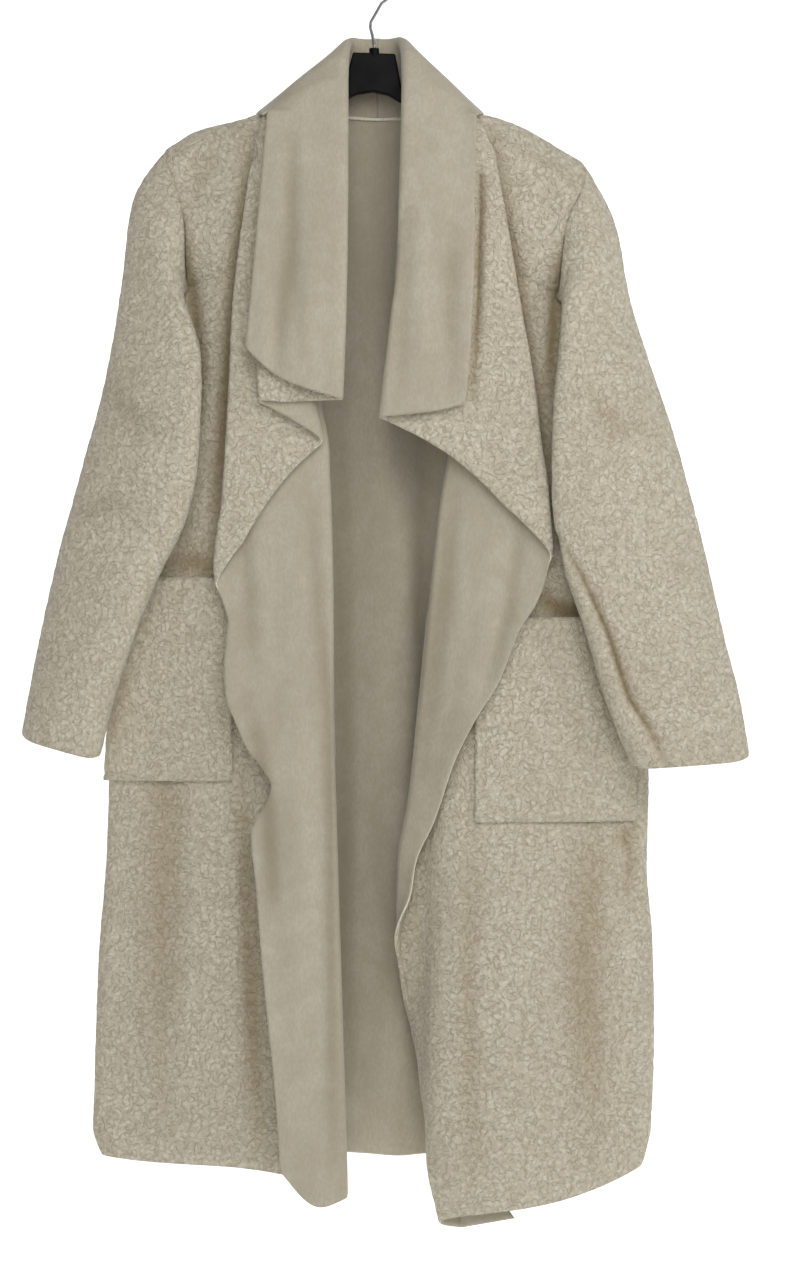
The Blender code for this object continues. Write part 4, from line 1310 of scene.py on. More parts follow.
@dataclass
class Sock:
    """A node socket that takes arithmetic."""

    graph: "Graph"
    socket: bpy.types.NodeSocket

    def maths(self, operation: str, first: Value, second: Value) -> "Sock":
        """Adds a maths node and gives its output."""
        return self.graph.node("ShaderNodeMath", {0: first, 1: second}, operation=operation)

    def __add__(self, other: Value) -> "Sock":
        """Adds."""
        return self.maths("ADD", self, other)

    def __radd__(self, other: Value) -> "Sock":
        """Adds to a plain number."""
        return self.maths("ADD", other, self)

    def __sub__(self, other: Value) -> "Sock":
        """Subtracts."""
        return self.maths("SUBTRACT", self, other)

    def __rsub__(self, other: Value) -> "Sock":
        """Subtracts from a plain number."""
        return self.maths("SUBTRACT", other, self)

    def __mul__(self, other: Value) -> "Sock":
        """Multiplies."""
        return self.maths("MULTIPLY", self, other)

    def __rmul__(self, other: Value) -> "Sock":
        """Multiplies a plain number."""
        return self.maths("MULTIPLY", other, self)

    def away(self, centre: float) -> "Sock":
        """Measures the distance from a value, never negative."""
        return self.maths("ABSOLUTE", self - centre, 0.0)

    def step(self, low: float, high: float) -> "Sock":
        """Makes a soft step from 0 at the low value to 1 at the high one."""
        return self.graph.node("ShaderNodeMapRange", {"Value": self, "From Min": low, "From Max": high},
                               interpolation_type="SMOOTHSTEP")


@dataclass
class Graph:
    """A node tree with short calls."""

    tree: bpy.types.NodeTree

    def node(self, kind: str, inputs: dict[Union[str, int], object], out: Union[str, int] = 0,
             **settings: object) -> Sock:
        """Adds any node.

        Args:
            kind: The node's type.
            inputs: Sockets or values by name or number.
            out: The output wanted.
            settings: The node's own properties.

        Returns:
            The output.
        """
        node = self.tree.nodes.new(kind)
        for key, value in settings.items():
            setattr(node, key, value)
        for key, value in inputs.items():
            self.feed(node.inputs[key], value)
        return Sock(self, node.outputs[out])

    def feed(self, target: bpy.types.NodeSocket, value: object) -> None:
        """Links or sets an input.

        Args:
            target: The input.
            value: A socket or a plain value.
        """
        if isinstance(value, Sock):
            self.tree.links.new(value.socket, target)
        else:
            target.default_value = value


class Surface(Graph):
    """A material's node tree."""

    def __init__(self, name: str) -> None:
        """Starts a material.

        Args:
            name: The material's name.
        """
        self.material = bpy.data.materials.new(name)
        self.material.use_nodes = True
        super().__init__(self.material.node_tree)
        self.shader = self.tree.nodes["Principled BSDF"]

    def place(self) -> Sock:
        """Returns the object coordinates."""
        return self.node("ShaderNodeTexCoord", {}, out="Object")

    def attribute(self, name: str) -> Sock:
        """Reads a number stored on the mesh's points."""
        return self.node("ShaderNodeAttribute", {}, out="Fac", attribute_name=name)

    def noise(self, at: Sock, scale: float, detail: float = 2.0, out: Union[str, int] = 0) -> Sock:
        """Adds a noise texture and gives the output wanted."""
        return self.node("ShaderNodeTexNoise", {"Vector": at, "Scale": scale, "Detail": detail}, out=out)

    def cells(self, at: Sock, scale: float) -> Sock:
        """Adds a cell texture and gives the distance to the nearest cell."""
        return self.node("ShaderNodeTexVoronoi", {"Vector": at, "Scale": scale}, out="Distance",
                         feature="F1")

    def vector(self, operation: str, first: object, second: object) -> Sock:
        """Adds a vector maths node."""
        return self.node("ShaderNodeVectorMath", {0: first, 1: second}, operation=operation)

    def stretch(self, at: Sock, by: Spot) -> Sock:
        """Scales coordinates by a number for each axis."""
        return self.vector("MULTIPLY", at, by)

    def warp(self, at: Sock, scale: float, by: float) -> Sock:
        """Bends coordinates by a noise, by up to half its measure in metres each way."""
        centred = self.vector("SUBTRACT", self.noise(at, scale, out="Color"), (0.5, 0.5, 0.5))
        return self.vector("ADD", at, self.stretch(centred, (by,) * 3))

    def blend(self, amount: Value, first: object, second: object) -> Sock:
        """Mixes two colours by the share of the second."""
        return self.node("ShaderNodeMix", {0: amount, 6: first, 7: second}, out=2, data_type="RGBA")

    def finish(self, colour: object, roughness: object, height: Optional[Sock] = None, depth: float = 0.0,
               strength: float = 1.0, **constants: object) -> bpy.types.Material:
        """Connects the surface.

        Args:
            colour: Base colour.
            roughness: Roughness.
            height: The bump's height.
            depth: The bump's depth in metres.
            strength: The bump's strength.
            constants: Other inputs, the same all over, with underscores for spaces.

        Returns:
            The finished material.
        """
        self.feed(self.shader.inputs["Base Color"], colour)
        self.feed(self.shader.inputs["Roughness"], roughness)
        for key, value in constants.items():
            self.shader.inputs[key.replace("_", " ")].default_value = value
        if height is not None:
            bump = self.node("ShaderNodeBump", {"Height": height, "Distance": depth, "Strength": strength})
            self.feed(self.shader.inputs["Normal"], bump)
        return self.material


@dataclass(frozen=True)
class CurledFinish:
    """The outside of the cloth: small tight curls with shaded gaps between them."""

    gap: Colour = (0.445, 0.388, 0.284, 1.0)
    body: Colour = (0.575, 0.52, 0.405, 1.0)
    # Painted highlight on the curls' tops.
    tip: Colour = (0.72, 0.665, 0.54, 1.0)
    # Painted shade laid into creases and beside seams.
    painted_crease_shade: Colour = (0.25, 0.185, 0.085, 1.0)
    curls: float = 135.0
    depth: float = 0.0013

    def build(self) -> bpy.types.Material:
        """Makes the material.

        Returns:
            The material.
        """
        graph = Surface("curled_cream")
        place = graph.place()
        bent = graph.warp(place, scale=160.0, by=0.006)
        wide = graph.noise(bent, scale=self.curls, detail=1.0)
        small = graph.noise(graph.warp(place, scale=220.0, by=0.005), scale=self.curls * 1.75, detail=1.0)
        worm = wide.away(0.5).step(0.0, 0.075)
        curl = small.away(0.5).step(0.0, 0.085)
        dome = 1.0 - graph.cells(bent, self.curls * 1.4).step(0.05, 0.85)
        fibre = graph.noise(place, scale=1500.0, detail=3.0)
        lump = graph.noise(place, scale=75.0, detail=2.0)
        height = worm * 0.5 + curl * 0.22 + dome * 0.6 + fibre * 0.12 + lump * 0.6
        tuft = worm * 0.38 + curl * 0.2 + dome * 0.42
        tone = graph.noise(place, scale=16.0, detail=3.0)
        # Painted shade in the gaps between the curls and painted highlight on their tips, over the bump.
        colour = graph.blend(tuft.step(0.10, 0.62), self.gap, self.body)
        colour = graph.blend(tuft.step(0.60, 0.95) * 0.8, colour, self.tip)
        colour = graph.blend(tone.step(0.36, 0.68) * 0.2, colour, self.gap)
        # Darkens the colour by the sunk depth: painted shade in creases and beside seams.
        colour = graph.blend(graph.attribute("painted_shade_amount") * 0.8, colour, self.painted_crease_shade)
        return graph.finish(colour, roughness=0.95, height=height, depth=self.depth, strength=0.85,
                            Sheen_Weight=0.25, Sheen_Roughness=0.5, Specular_IOR_Level=0.1)


@dataclass(frozen=True)
class BrushedFinish:
    """The inside of the cloth: a smooth brushed face with a faint nap."""

    base: Colour = (0.50, 0.452, 0.35, 1.0)
    shade: Colour = (0.375, 0.33, 0.24, 1.0)
    light: Colour = (0.575, 0.53, 0.43, 1.0)
    # Painted shade laid into creases and beside seams.
    painted_crease_shade: Colour = (0.24, 0.20, 0.125, 1.0)

    def build(self) -> bpy.types.Material:
        """Makes the material.

        Returns:
            The material.
        """
        graph = Surface("brushed_cream")
        place = graph.place()
        nap = graph.noise(graph.stretch(place, by=(1.0, 1.0, 0.5)), scale=420.0, detail=4.0)
        fleck = graph.noise(place, scale=1900.0, detail=2.0)
        mottle = graph.noise(graph.warp(place, scale=14.0, by=0.03), scale=60.0, detail=4.0)
        cloud = graph.noise(graph.stretch(place, by=(1.0, 1.0, 0.3)), scale=24.0, detail=3.0)
        colour = graph.blend(mottle.step(0.36, 0.66) * 0.5, self.base, self.light)
        colour = graph.blend(nap.step(0.38, 0.62) * 0.30, colour, self.shade)
        colour = graph.blend(cloud.step(0.38, 0.68) * 0.36, colour, self.shade)
        # Darkens the colour by the sunk depth: painted shade in creases and beside seams.
        colour = graph.blend(graph.attribute("painted_shade_amount") * 0.75, colour, self.painted_crease_shade)
        height = nap * 0.6 + fleck * 0.25 + mottle * 0.8 + cloud * 1.2
        return graph.finish(colour, roughness=0.94, height=height, depth=0.001, strength=0.6,
                            Sheen_Weight=0.3, Sheen_Roughness=0.45, Specular_IOR_Level=0.1)


@dataclass(frozen=True)
class RawEdgeFinish:
    """The cut edge, where the pale backing shows."""

    pale: Colour = (0.82, 0.78, 0.66, 1.0)
    dark: Colour = (0.52, 0.45, 0.31, 1.0)

    def build(self) -> bpy.types.Material:
        """Makes the material.

        Returns:
            The material.
        """
        graph = Surface("raw_edge_cream")
        place = graph.place()
        fray = graph.noise(place, scale=900.0, detail=4.0)
        colour = graph.blend(fray.step(0.45, 0.7) * 0.6, self.pale, self.dark)
        return graph.finish(colour, roughness=0.95, height=fray, depth=0.0006, strength=0.7,
                            Sheen_Weight=0.15, Specular_IOR_Level=0.1)


@dataclass(frozen=True)
class ThreadFinish:
    """Sewing thread in the cloth's colour."""

    colour: Colour = (0.62, 0.56, 0.41, 1.0)
    shade: Colour = (0.50, 0.43, 0.29, 1.0)

    def build(self) -> bpy.types.Material:
        """Makes the material.

        Returns:
            The material.
        """
        graph = Surface("thread_cream")
        twist = graph.noise(graph.place(), scale=2600.0, detail=2.0)
        colour = graph.blend(twist.step(0.35, 0.7), self.colour, self.shade)
        return graph.finish(colour, roughness=0.7, height=twist, depth=0.0002, strength=0.6,
                            Sheen_Weight=0.1)


@dataclass(frozen=True)
class PlasticFinish:
    """Black moulded plastic, satin, with fine scuffs."""

    colour: Colour = (0.004, 0.0036, 0.0038, 1.0)
    scuff: Colour = (0.011, 0.0105, 0.011, 1.0)

    def build(self) -> bpy.types.Material:
        """Makes the material.

        Returns:
            The material.
        """
        graph = Surface("moulded_black")
        place = graph.place()
        grain = graph.noise(place, scale=2400.0, detail=3.0)
        scratch = graph.noise(graph.stretch(place, by=(1.0, 1.0, 9.0)), scale=120.0, detail=5.0)
        haze = graph.noise(place, scale=30.0, detail=3.0)
        colour = graph.blend(scratch.step(0.60, 0.72) * 0.5, self.colour, self.scuff)
        roughness = 0.36 + haze.step(0.35, 0.7) * 0.16 + grain * 0.05
        height = grain * 0.6 + scratch * 0.4
        return graph.finish(colour, roughness=roughness, height=height, depth=0.00012, strength=0.5,
                            Specular_IOR_Level=0.08)


@dataclass(frozen=True)
class SteelFinish:
    """Bright plated wire, drawn lengthwise."""

    colour: Colour = (0.50, 0.50, 0.515, 1.0)
    dull: Colour = (0.22, 0.22, 0.225, 1.0)

    def build(self) -> bpy.types.Material:
        """Makes the material.

        Returns:
            The material.
        """
        graph = Surface("plated_wire")
        place = graph.place()
        drawn = graph.noise(graph.stretch(place, by=(6.0, 6.0, 1.0)), scale=300.0, detail=3.0)
        spots = graph.noise(place, scale=90.0, detail=3.0)
        colour = graph.blend(spots.step(0.52, 0.75), self.colour, self.dull)
        return graph.finish(colour, roughness=0.18 + drawn * 0.14, height=drawn, depth=0.00005, strength=0.5,
                            Metallic=1.0)


@dataclass(frozen=True)
class PaperFinish:
    """The studio's pale paper, which glows as painted light: dimly in front of the coat, brightly behind it.
    """

    colour: Colour = (0.93, 0.93, 0.925, 1.0)
    fleck: Colour = (0.88, 0.88, 0.875, 1.0)
    near_glow: Colour = (0.2, 0.2, 0.2, 1.0)
    far_glow: Colour = (1.0, 1.0, 1.0, 1.0)

    def build(self) -> bpy.types.Material:
        """Makes the material.

        Returns:
            The material.
        """
        graph = Surface("studio_paper")
        place = graph.place()
        fibre = graph.noise(place, scale=60.0, detail=2.0)
        colour = graph.blend(fibre * 0.03, self.colour, self.fleck)
        depth = graph.node("ShaderNodeSeparateXYZ", {"Vector": place}, out="Y")
        # Painted light: the paper glows, dimmer towards the front so that less light falls on the coat's
        # lower part.
        glow = graph.blend(depth.step(-0.6, 0.45), self.near_glow, self.far_glow)
        graph.feed(graph.shader.inputs["Emission Color"], glow)
        return graph.finish(colour, roughness=0.9, Emission_Strength=0.78)


@dataclass
class Stitches:
    """A row of stitches along a path, repeated by geometry nodes."""

    name: str
    path: Array
    spacing: float = 0.0042
    length: float = 0.0028
    radius: float = 0.00042
    smallest: float = 0.85
    largest: float = 1.1
    seed: int = 7

    @property
    def inputs(self) -> dict[str, float]:
        """Returns the node tree's named sizes."""
        return {"Spacing": self.spacing, "Stitch Length": self.length, "Radius": self.radius,
                "Seed": self.seed}

    def nodes(self, thread: bpy.types.Material) -> bpy.types.NodeTree:
        """Builds the node tree that sets stitches along a curve.

        Args:
            thread: The stitches' material.

        Returns:
            The node tree.
        """
        tree = bpy.data.node_groups.new(self.name + "_nodes", "GeometryNodeTree")
        tree.interface.new_socket("Geometry", in_out="INPUT", socket_type="NodeSocketGeometry")
        for label, value in self.inputs.items():
            kind = "Int" if isinstance(value, int) else "Float"
            tree.interface.new_socket(label, in_out="INPUT", socket_type="NodeSocket" + kind)
        tree.interface.new_socket("Geometry", in_out="OUTPUT", socket_type="NodeSocketGeometry")

        graph = Graph(tree)
        given = {socket.name: Sock(graph, socket) for socket in tree.nodes.new("NodeGroupInput").outputs}
        curve = graph.node("GeometryNodeMeshToCurve", {"Mesh": given["Geometry"]})
        even = graph.node("GeometryNodeResampleCurve", {"Curve": curve, "Length": given["Spacing"]},
                          mode="LENGTH")
        tangent = graph.node("GeometryNodeInputTangent", {})
        turn = graph.node("FunctionNodeAlignRotationToVector", {"Vector": tangent}, axis="Z")
        ball = graph.node("GeometryNodeMeshUVSphere", {"Segments": 8, "Rings": 5, "Radius": 1.0}, out="Mesh")
        body = graph.node("GeometryNodeSetShadeSmooth", {"Geometry": ball})
        size = graph.node("ShaderNodeCombineXYZ", {"X": given["Radius"], "Y": given["Radius"],
                                                   "Z": given["Stitch Length"] * 0.5})
        sizes = {2: self.smallest, 3: self.largest, "Seed": given["Seed"]}
        vary = graph.node("FunctionNodeRandomValue", sizes, out=1, data_type="FLOAT")
        scaled = graph.node("ShaderNodeVectorMath", {0: size, "Scale": vary}, operation="SCALE")
        copies = graph.node("GeometryNodeInstanceOnPoints",
                            {"Points": even, "Instance": body, "Rotation": turn, "Scale": scaled})
        real = graph.node("GeometryNodeRealizeInstances", {"Geometry": copies})
        coloured = graph.node("GeometryNodeSetMaterial", {"Geometry": real, "Material": thread})
        graph.feed(tree.nodes.new("NodeGroupOutput").inputs[0], coloured)
        return tree

    def build(self, thread: bpy.types.Material) -> bpy.types.Object:
        """Makes the row of stitches as one plain mesh.

        Args:
            thread: The stitches' material.

        Returns:
            The new object.
        """
        line = bpy.data.meshes.new(self.name + "_path")
        line.from_pydata(self.path.tolist(), [(k, k + 1) for k in range(len(self.path) - 1)], [])
        carrier = bpy.data.objects.new(self.name + "_carrier", line)
        bpy.context.scene.collection.objects.link(carrier)
        modifier = carrier.modifiers.new("stitches", "NODES")
        modifier.node_group = self.nodes(thread)
        for item in modifier.node_group.interface.items_tree:
            if item.in_out == "INPUT" and item.name in self.inputs:
                modifier[item.identifier] = self.inputs[item.name]
        graph = bpy.context.evaluated_depsgraph_get()
        mesh = bpy.data.meshes.new_from_object(carrier.evaluated_get(graph), depsgraph=graph)
        bpy.data.objects.remove(carrier)
        row = bpy.data.objects.new(self.name, mesh)
        bpy.context.scene.collection.objects.link(row)
        return row


@dataclass
class Sheen:
    """The coat's finishes, one material each."""

    curled: bpy.types.Material
    brushed: bpy.types.Material
    raw_edge: bpy.types.Material
    thread: bpy.types.Material
    plastic: bpy.types.Material
    steel: bpy.types.Material

    @classmethod
    def make(cls) -> "Sheen":
        """Builds every finish."""
        return cls(CurledFinish().build(), BrushedFinish().build(), RawEdgeFinish().build(),
                   ThreadFinish().build(), PlasticFinish().build(), SteelFinish().build())

    @property
    def cloth(self) -> list[bpy.types.Material]:
        """Returns the three materials of a sheet, in the order of its slots."""
        return [self.curled, self.brushed, self.raw_edge]


def seam_points(grid: Array) -> Array:
    """Marks the points that lie on a sewn edge: the first ones of each row and of each column.

    Args:
        grid: The sheet's grid.

    Returns:
        A flag a point.
    """
    present = ~np.isnan(grid[..., 0])
    flags = np.zeros(present.shape, dtype=bool)
    rows, columns = np.arange(present.shape[0]), np.arange(present.shape[1])
    flags[rows, present.argmax(axis=1)] = True
    flags[present.argmax(axis=0), columns] = True
    return flags & present


SOFT_CORE = 1.3


@dataclass(frozen=True)
class SoftTurn:
    """A place where a folded edge turns over softly instead of ending in a corner."""

    at: tuple[float, float]
    reach: float
    rounds: int
    shift: Spot = (0.0, 0.0, 0.0)

    def soften(self, grid: Array) -> Array:
        """Relaxes a sheet's points near the turn.

        Args:
            grid: The sheet's grid, as x, y and drop.

        Returns:
            The relaxed grid.
        """
        away = np.linalg.norm(grid[..., (0, 2)] - np.array(self.at), axis=-1)
        weight = np.nan_to_num(np.clip(SOFT_CORE * (1.0 - away / self.reach), 0.0, 1.0))[..., None]
        grid = grid + weight * np.array(self.shift)
        for _ in range(self.rounds):
            wide = np.pad(grid, ((1, 1), (1, 1), (0, 0)), constant_values=np.nan)
            around = np.stack((wide[:-2, 1:-1], wide[2:, 1:-1], wide[1:-1, :-2], wide[1:-1, 2:]))
            count = np.maximum((~np.isnan(around)).sum(axis=0), 1)
            grid = grid + 0.5 * weight * (np.nansum(around, axis=0) / count - grid)
        return grid


@dataclass
class Side:
    """What belongs to one side of the coat."""

    word: str
    front: Front
    face: Face
    sleeve: Sequence[RingRow]
    back_edge: Array
    pocket: PocketPlace
    cut: Cut


@dataclass
class Coat:
    """The coat: two fronts with their collar, a back, two sleeves and two pockets."""

    finishes: Sheen

    def cut(self, piece: ClothPiece, cut: Cut, rests_on: Sequence[str]) -> ClothPiece:
        """Args:
            piece: The piece.
            cut: Its cut. Not used.
            rests_on: What it hangs from. Not used.

        Returns:
            The piece.
        """
        item = piece.build(self.finishes.cloth)
        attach(item, BODY)
        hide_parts(piece.name)
        report(item)
        return piece

    def build(self) -> None:
        """Builds every sheet, from the back forwards."""
        right = Front(RIGHT_FOLDS, RIGHT_LINES, RIGHT_HEM, RIGHT_SHOULDER,
                      ("fold_1", "fold_2", "fold_3", "fold_4"), RIGHT_RISES, -1)
        left = Front(LEFT_FOLDS, LEFT_LINES, LEFT_HEM, LEFT_SHOULDER, ("fold_1", "fold_2"), LEFT_RISES, 1)
        back = Back(right, left)
        coarse = back.coarse_grid()
        grid = back.fine_grid(coarse, GRID_STEP)
        sewn = seam_points(grid)
        sewn[:, -1] = True
        sewn[-1, 1:-1] = False
        self.cut(ClothPiece("back", grid, Face.AGAINST, seams=sewn, creases=CREASES["back"]),
                 BACK_CUT, ["hanger_body"])
        self.neck_edge(grid[0])
        sides = (
            Side("right", right, Face.ALONG, RIGHT_SLEEVE, coarse[:, 0], RIGHT_POCKET, FRONT_RIGHT_CUT),
            Side("left", left, Face.AGAINST, LEFT_SLEEVE, coarse[:, -1], LEFT_POCKET, FRONT_LEFT_CUT))
        for side in sides:
            plain, rows, columns = side.front.fine_grid(GRID_STEP)
            grid = plain
            for turn in SOFT_TURNS[side.word]:
                grid = turn.soften(grid)
            self.cut(ClothPiece("front_" + side.word, grid, side.face, seams=seam_points(grid),
                                creases=CREASES["front_" + side.word]),
                     side.cut, ["hanger_body"])
            self.sleeve(side)
            self.pocket(side, plain[rows >= ROW_ARMPIT][:, columns <= side.front.names.index("fold_1 in")])

    def neck_edge(self, seam: Array) -> None:
        """Lays the pale frayed edge of the neck seam along the inside of the back.

        Args:
            seam: The back's top row.
        """
        path = seam[np.abs(seam[:, 0] - CENTRE_BACK_X) < NECK_EDGE_REACH] + np.array(NECK_EDGE_LIFT)
        wobble = [noise.noise(Vector((x * NECK_EDGE_WOBBLES, 3.0, 0.0))) for x in path[:, 0]]
        path[:, 2] += NECK_EDGE_WOBBLE * np.array(wobble)
        path[:, 2] -= NECK_EDGE_RISE * np.maximum(0.0, NECK_EDGE_BEND - path[:, 0])
        turn = np.linspace(0.0, 2.0 * math.pi, NECK_EDGE_SIDES, endpoint=False)
        across, up = NECK_EDGE_HALF
        ring = np.column_stack((0.0 * turn, across * np.cos(turn), up * np.sin(turn)))
        verts = ((path[:, None, :] + ring[None, :, :]) * TO_METRES).reshape(-1, 3)
        index = np.arange(len(verts)).reshape(len(path), NECK_EDGE_SIDES)
        after = np.roll(index, -1, axis=1)
        faces = np.stack((index[:-1], after[:-1], after[1:], index[1:]), axis=-1).reshape(-1, 4)
        edge = new_mesh("neck_seam_edge", verts, faces, [self.finishes.raw_edge])
        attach(edge, BODY)
        report(edge)

    def sleeve(self, side: Side) -> None:
        """Builds a sleeve.

        Args:
            side: Its side of the coat.
        """
        grid = Sleeve(side.sleeve, side.front, side.back_edge).fine_grid(SLEEVE_STEP)
        sewn = np.zeros(grid.shape[:2], dtype=bool)
        sewn[0] = True
        self.cut(ClothPiece("sleeve_" + side.word, grid, side.face, closed=True, seams=sewn,
                            creases=CREASES["sleeve_" + side.word]),
                 SLEEVE_CUT, ["front_" + side.word, "back"])

    def pocket(self, side: Side, lower: Array) -> None:
        """Builds a pocket and the stitches in its groove.

        Args:
            side: Its side of the coat.
            lower: The front's fine grid from the armpit down to the first fold.
        """
        points, from_sides, from_bottom = Pocket(side.front, side.pocket).fine_grid(lower, POCKET_STEP)
        edge = np.minimum(from_sides, from_bottom)
        from_top = POCKET_HEIGHT - from_bottom
        relief = POCKET_RIM.size * np.exp(-(edge / POCKET_RIM.width)**2)
        relief -= POCKET_SEAM.size * np.exp(-((edge - POCKET_GROOVE) / POCKET_SEAM.width)**2)
        relief *= np.clip(from_top / POCKET_FADE, 0.0, 1.0)
        relief += POCKET_MOUTH.size * np.exp(-(from_top / POCKET_MOUTH.width)**4)
        flipped = Face.AGAINST if side.face is Face.ALONG else Face.ALONG
        piece = ClothPiece("pocket_" + side.word, points, flipped, relief=relief, ripple=POCKET_RIPPLE)
        self.cut(piece, POCKET_CUT, ["front_" + side.word])
        inset = int(round(POCKET_GROOVE / POCKET_STEP))
        surface = piece.outer.reshape(points.shape)
        path = np.concatenate((surface[2:-inset, inset], surface[-1 - inset, inset:-inset],
                               surface[2:-inset, -1 - inset][::-1]))
        row = Stitches("stitches_pocket_" + side.word, path).build(self.finishes.thread)
        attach(row, BODY)
        report(row)


@dataclass
class Hanger:
    """The hanger: the solids as they are, with their finishes."""

    finishes: Sheen

    def dress(self) -> None:
        """Gives the hanger's solids their materials."""
        for name, finish in (("hanger_body", self.finishes.plastic), ("hanger_hook", self.finishes.steel)):
            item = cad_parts[name]
            item.data.materials.clear()
            item.data.materials.append(finish)
            for slot in item.material_slots:
                slot.link = "OBJECT"
                slot.material = finish
            report(item)


@dataclass(frozen=True)
class Lamp:
    """A soft area light."""

    name: str
    at: Spot
    towards: Spot
    size: float
    power: float

    def build(self) -> None:
        """Places the light."""
        data = bpy.data.lights.new(self.name, "AREA")
        data.shape = "SQUARE"
        data.size = self.size
        data.energy = self.power
        item = bpy.data.objects.new(self.name, data)
        item.location = self.at
        aim = Vector(self.towards) - Vector(self.at)
        item.rotation_euler = aim.to_track_quat("-Z", "Y").to_euler()
        bpy.context.scene.collection.objects.link(item)


@dataclass(frozen=True)
class Studio:
    """A pale paper sweep, soft lamps and the camera."""

    lamps: Sequence[Lamp]
    floor: float = -1.42
    wall: float = 7.5
    bend: float = 2.5
    reach: float = 10.0
    bend_steps: int = 24
    world: float = 0.22

    def sweep(self) -> None:
        """Makes floor and backdrop as one sheet of paper."""
        profile = [(-self.reach, self.floor)]
        for angle in np.linspace(0.0, math.pi / 2.0, self.bend_steps + 1):
            profile.append((self.wall - self.bend + self.bend * math.sin(angle),
                            self.floor + self.bend - self.bend * math.cos(angle)))
        profile.append((self.wall, self.floor + self.reach))
        verts = np.array([(x, y, z) for y, z in profile for x in (-self.reach, self.reach)])
        faces = np.array([(2 * k, 2 * k + 1, 2 * k + 3, 2 * k + 2) for k in range(len(profile) - 1)])
        new_mesh("studio_sweep", verts, faces, [PaperFinish().build()])

    def build(self) -> None:
        """Sets the studio up."""
        self.sweep()
        for lamp in self.lamps:
            lamp.build()
        world = bpy.data.worlds.new("studio_light")
        world.use_nodes = True
        world.node_tree.nodes["Background"].inputs["Color"].default_value = (1.0, 1.0, 1.0, 1.0)
        world.node_tree.nodes["Background"].inputs["Strength"].default_value = self.world
        bpy.context.scene.world = world
        bpy.context.scene.view_settings.view_transform = "Standard"
        camera = bpy.data.cameras.new("front_camera")
        camera.sensor_width = SENSOR
        camera.lens = SENSOR * CAMERA_DISTANCE / FRAME_HEIGHT
        item = bpy.data.objects.new("front_camera", camera)
        item.location = (CAMERA_X, FRONT_PLANE - CAMERA_DISTANCE, CAMERA_Z)
        item.rotation_euler = (math.pi / 2.0, 0.0, 0.0)
        bpy.context.scene.collection.objects.link(item)
        bpy.context.scene.camera = item


SOFT_TURNS = {
    "right": (SoftTurn((-151, 629), 46, 26, (-4, 0, 4)), SoftTurn((-51, 489), 30, 12, (3, 0, 2)),
              SoftTurn((-112, 448), 24, 8)),
    "left": (SoftTurn((177, 602), 62, 40, (6, 0, 9)),),
}
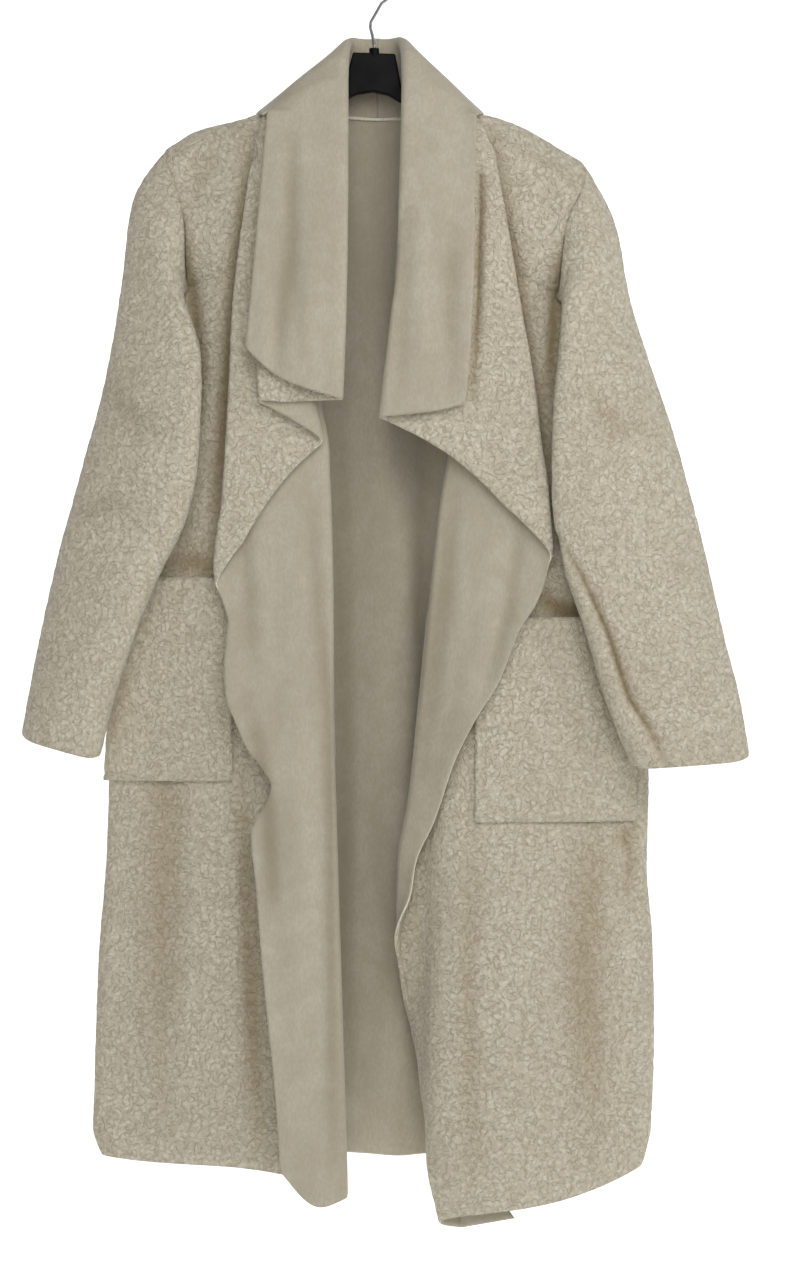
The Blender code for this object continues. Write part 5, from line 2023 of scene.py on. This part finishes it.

# Each crease is pressed into its sheet, and its depth also darkens the cloth's colour there as painted
# shade.
CREASES = {
    "back": named(
        Crease,
        (((-120, 480), (-128, 760), (-120, 1060)), 20, 2.2, 8, 80),
        (((110, 520), (122, 800), (130, 1120)), 22, 2, 8, 80),
        (((50, 300), (54, 600), (52, 820), (44, 1120)), 10, -2.4, 8, 80),
        (((8, 260), (6, 700), (4, 1120)), 15, 2.4, 8, 80),
        (((-34, 420), (-28, 760), (-30, 1140)), 12, -3, 8, 80),
        (((-150, 330), (-90, 380), (-40, 400)), 14, 1.4, 8, 80),
        (((152, 336), (96, 392), (30, 420)), 14, 1.3, 8, 80)),
    "front_right": named(
        Crease,
        (((-58, 300), (-64, 380), (-66, 436)), 8, 2, -95, -64),
        (((-84, 290), (-88, 370), (-92, 424)), 8, -2.6, -95, -62),
        (((-112, 300), (-104, 380), (-108, 412)), 7, 1.2, -95, -62),
        (((-78, 170), (-80, 260), (-76, 350)), 8, -2.6, -95, -48),
        (((-120, 740), (-104, 850), (-96, 960)), 10, -4, -75, -33),
        (((-61, 560), (-42, 760), (-40, 1000), (-38, 1200)), 8, -3.4, -75, -33),
        (((-84, 560), (-74, 860), (-66, 1160)), 12, 2.6, -75, -33),
        (((-128, 560), (-122, 640), (-118, 720)), 9, -2.6, -75, -33),
        (((-130, 830), (-124, 1000), (-112, 1190)), 13, 4, -34, -18),
        (((-60, 640), (-66, 860), (-60, 1120)), 13, -1.6, -34, -16),
        (((-120, 176), (-126, 230), (-137, 320), (-146, 430), (-152, 520),
               (-158, 612)), 9, 5, -33, -8),
        (((-188, 262), (-186, 306), (-180, 350), (-173, 410), (-176, 470)), 8, 5, -33, -4),
        (((-215, 640), (-205, 860), (-214, 1150)), 24, 2.4, -34, -8),
        (((-160, 840), (-150, 980), (-156, 1180)), 22, -2.2, -40, -8),
        (((-150, 190), (-172, 214), (-180, 250)), 12, 1.6, -34, -8),
        (((-224, 612), (-180, 606), (-142, 618)), 12, 3.6, -34, -4),
        (((-205, 500), (-196, 560), (-178, 610)), 12, 1.5, -34, -8)),
    "front_left": named(
        Crease,
        (((52, 300), (50, 390), (56, 452)), 10, 1.5, -95, -58),
        (((82, 280), (80, 360), (84, 440)), 10, -2.2, -95, -56),
        (((36, 150), (34, 300), (28, 450)), 9, -2.2, -95, -56),
        (((109, 170), (110, 250), (107, 350), (100, 446)), 4, 5.5, -57, -40),
        (((84, 500), (72, 640), (50, 810)), 12, -3.4, -75, -34),
        (((128, 530), (110, 690), (72, 825)), 13, 2.2, -75, -34),
        (((152, 560), (136, 660), (112, 740)), 8, -2.4, -75, -34),
        (((122, 186), (131, 240), (142, 300), (158, 400), (168, 470), (180, 590)), 9, 5, -34, -8),
        (((190, 290), (188, 330), (184, 380), (180, 440)), 8, 5, -33, -4),
        (((226, 850), (214, 1000), (222, 1190)), 22, 2.6, -60, -4),
        (((150, 830), (138, 1000), (146, 1230)), 24, -2.4, -60, -20),
        (((104, 860), (98, 1040), (104, 1230)), 14, 2, -60, -20),
        (((252, 868), (262, 905), (258, 950)), 7, 2.6, -40, 0),
        (((160, 634), (190, 654), (236, 662)), 13, 5.5, -33, -4),
        (((270, 862), (262, 880), (246, 892)), 6, 1.8, -40, 0)),
    "sleeve_right": named(
        Crease,
        (((-262, 430), (-232, 470), (-205, 480)), 12, 1.8, -80, 80),
        (((-290, 560), (-262, 545), (-238, 560)), 10, 1.5, -80, 80)),
    "sleeve_left": named(
        Crease,
        (((185, 582), (209, 623), (234, 676), (256, 743), (277, 774), (291, 807)), 4.5, 6, -90, -8),
        (((185, 593), (202, 627), (221, 675), (237, 735), (254, 775), (274, 812)), 8, -3.2, -90, -8),
        (((210, 430), (240, 470), (275, 480)), 12, 1.6, -80, 80)),
}

LAMPS = (
    Lamp("key", (0.4, -2.1, 0.7), (0.0, 0.0, -0.4), 1.6, 24.5),
    Lamp("rake", (2.3, -1.2, 0.45), (0.0, 0.0, -0.6), 0.8, 11.8),
    Lamp("fill", (-0.25, -3.3, -0.4), (0.0, 0.0, -0.65), 1.3, 10.4),
)


def main() -> None:
    """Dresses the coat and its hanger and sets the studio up."""
    logging.basicConfig(level=logging.INFO, format="%(name)s %(message)s")
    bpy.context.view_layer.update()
    finishes = Sheen.make()
    Coat(finishes).build()
    Hanger(finishes).dress()
    Studio(LAMPS).build()


if __name__ == "__main__":
    main()
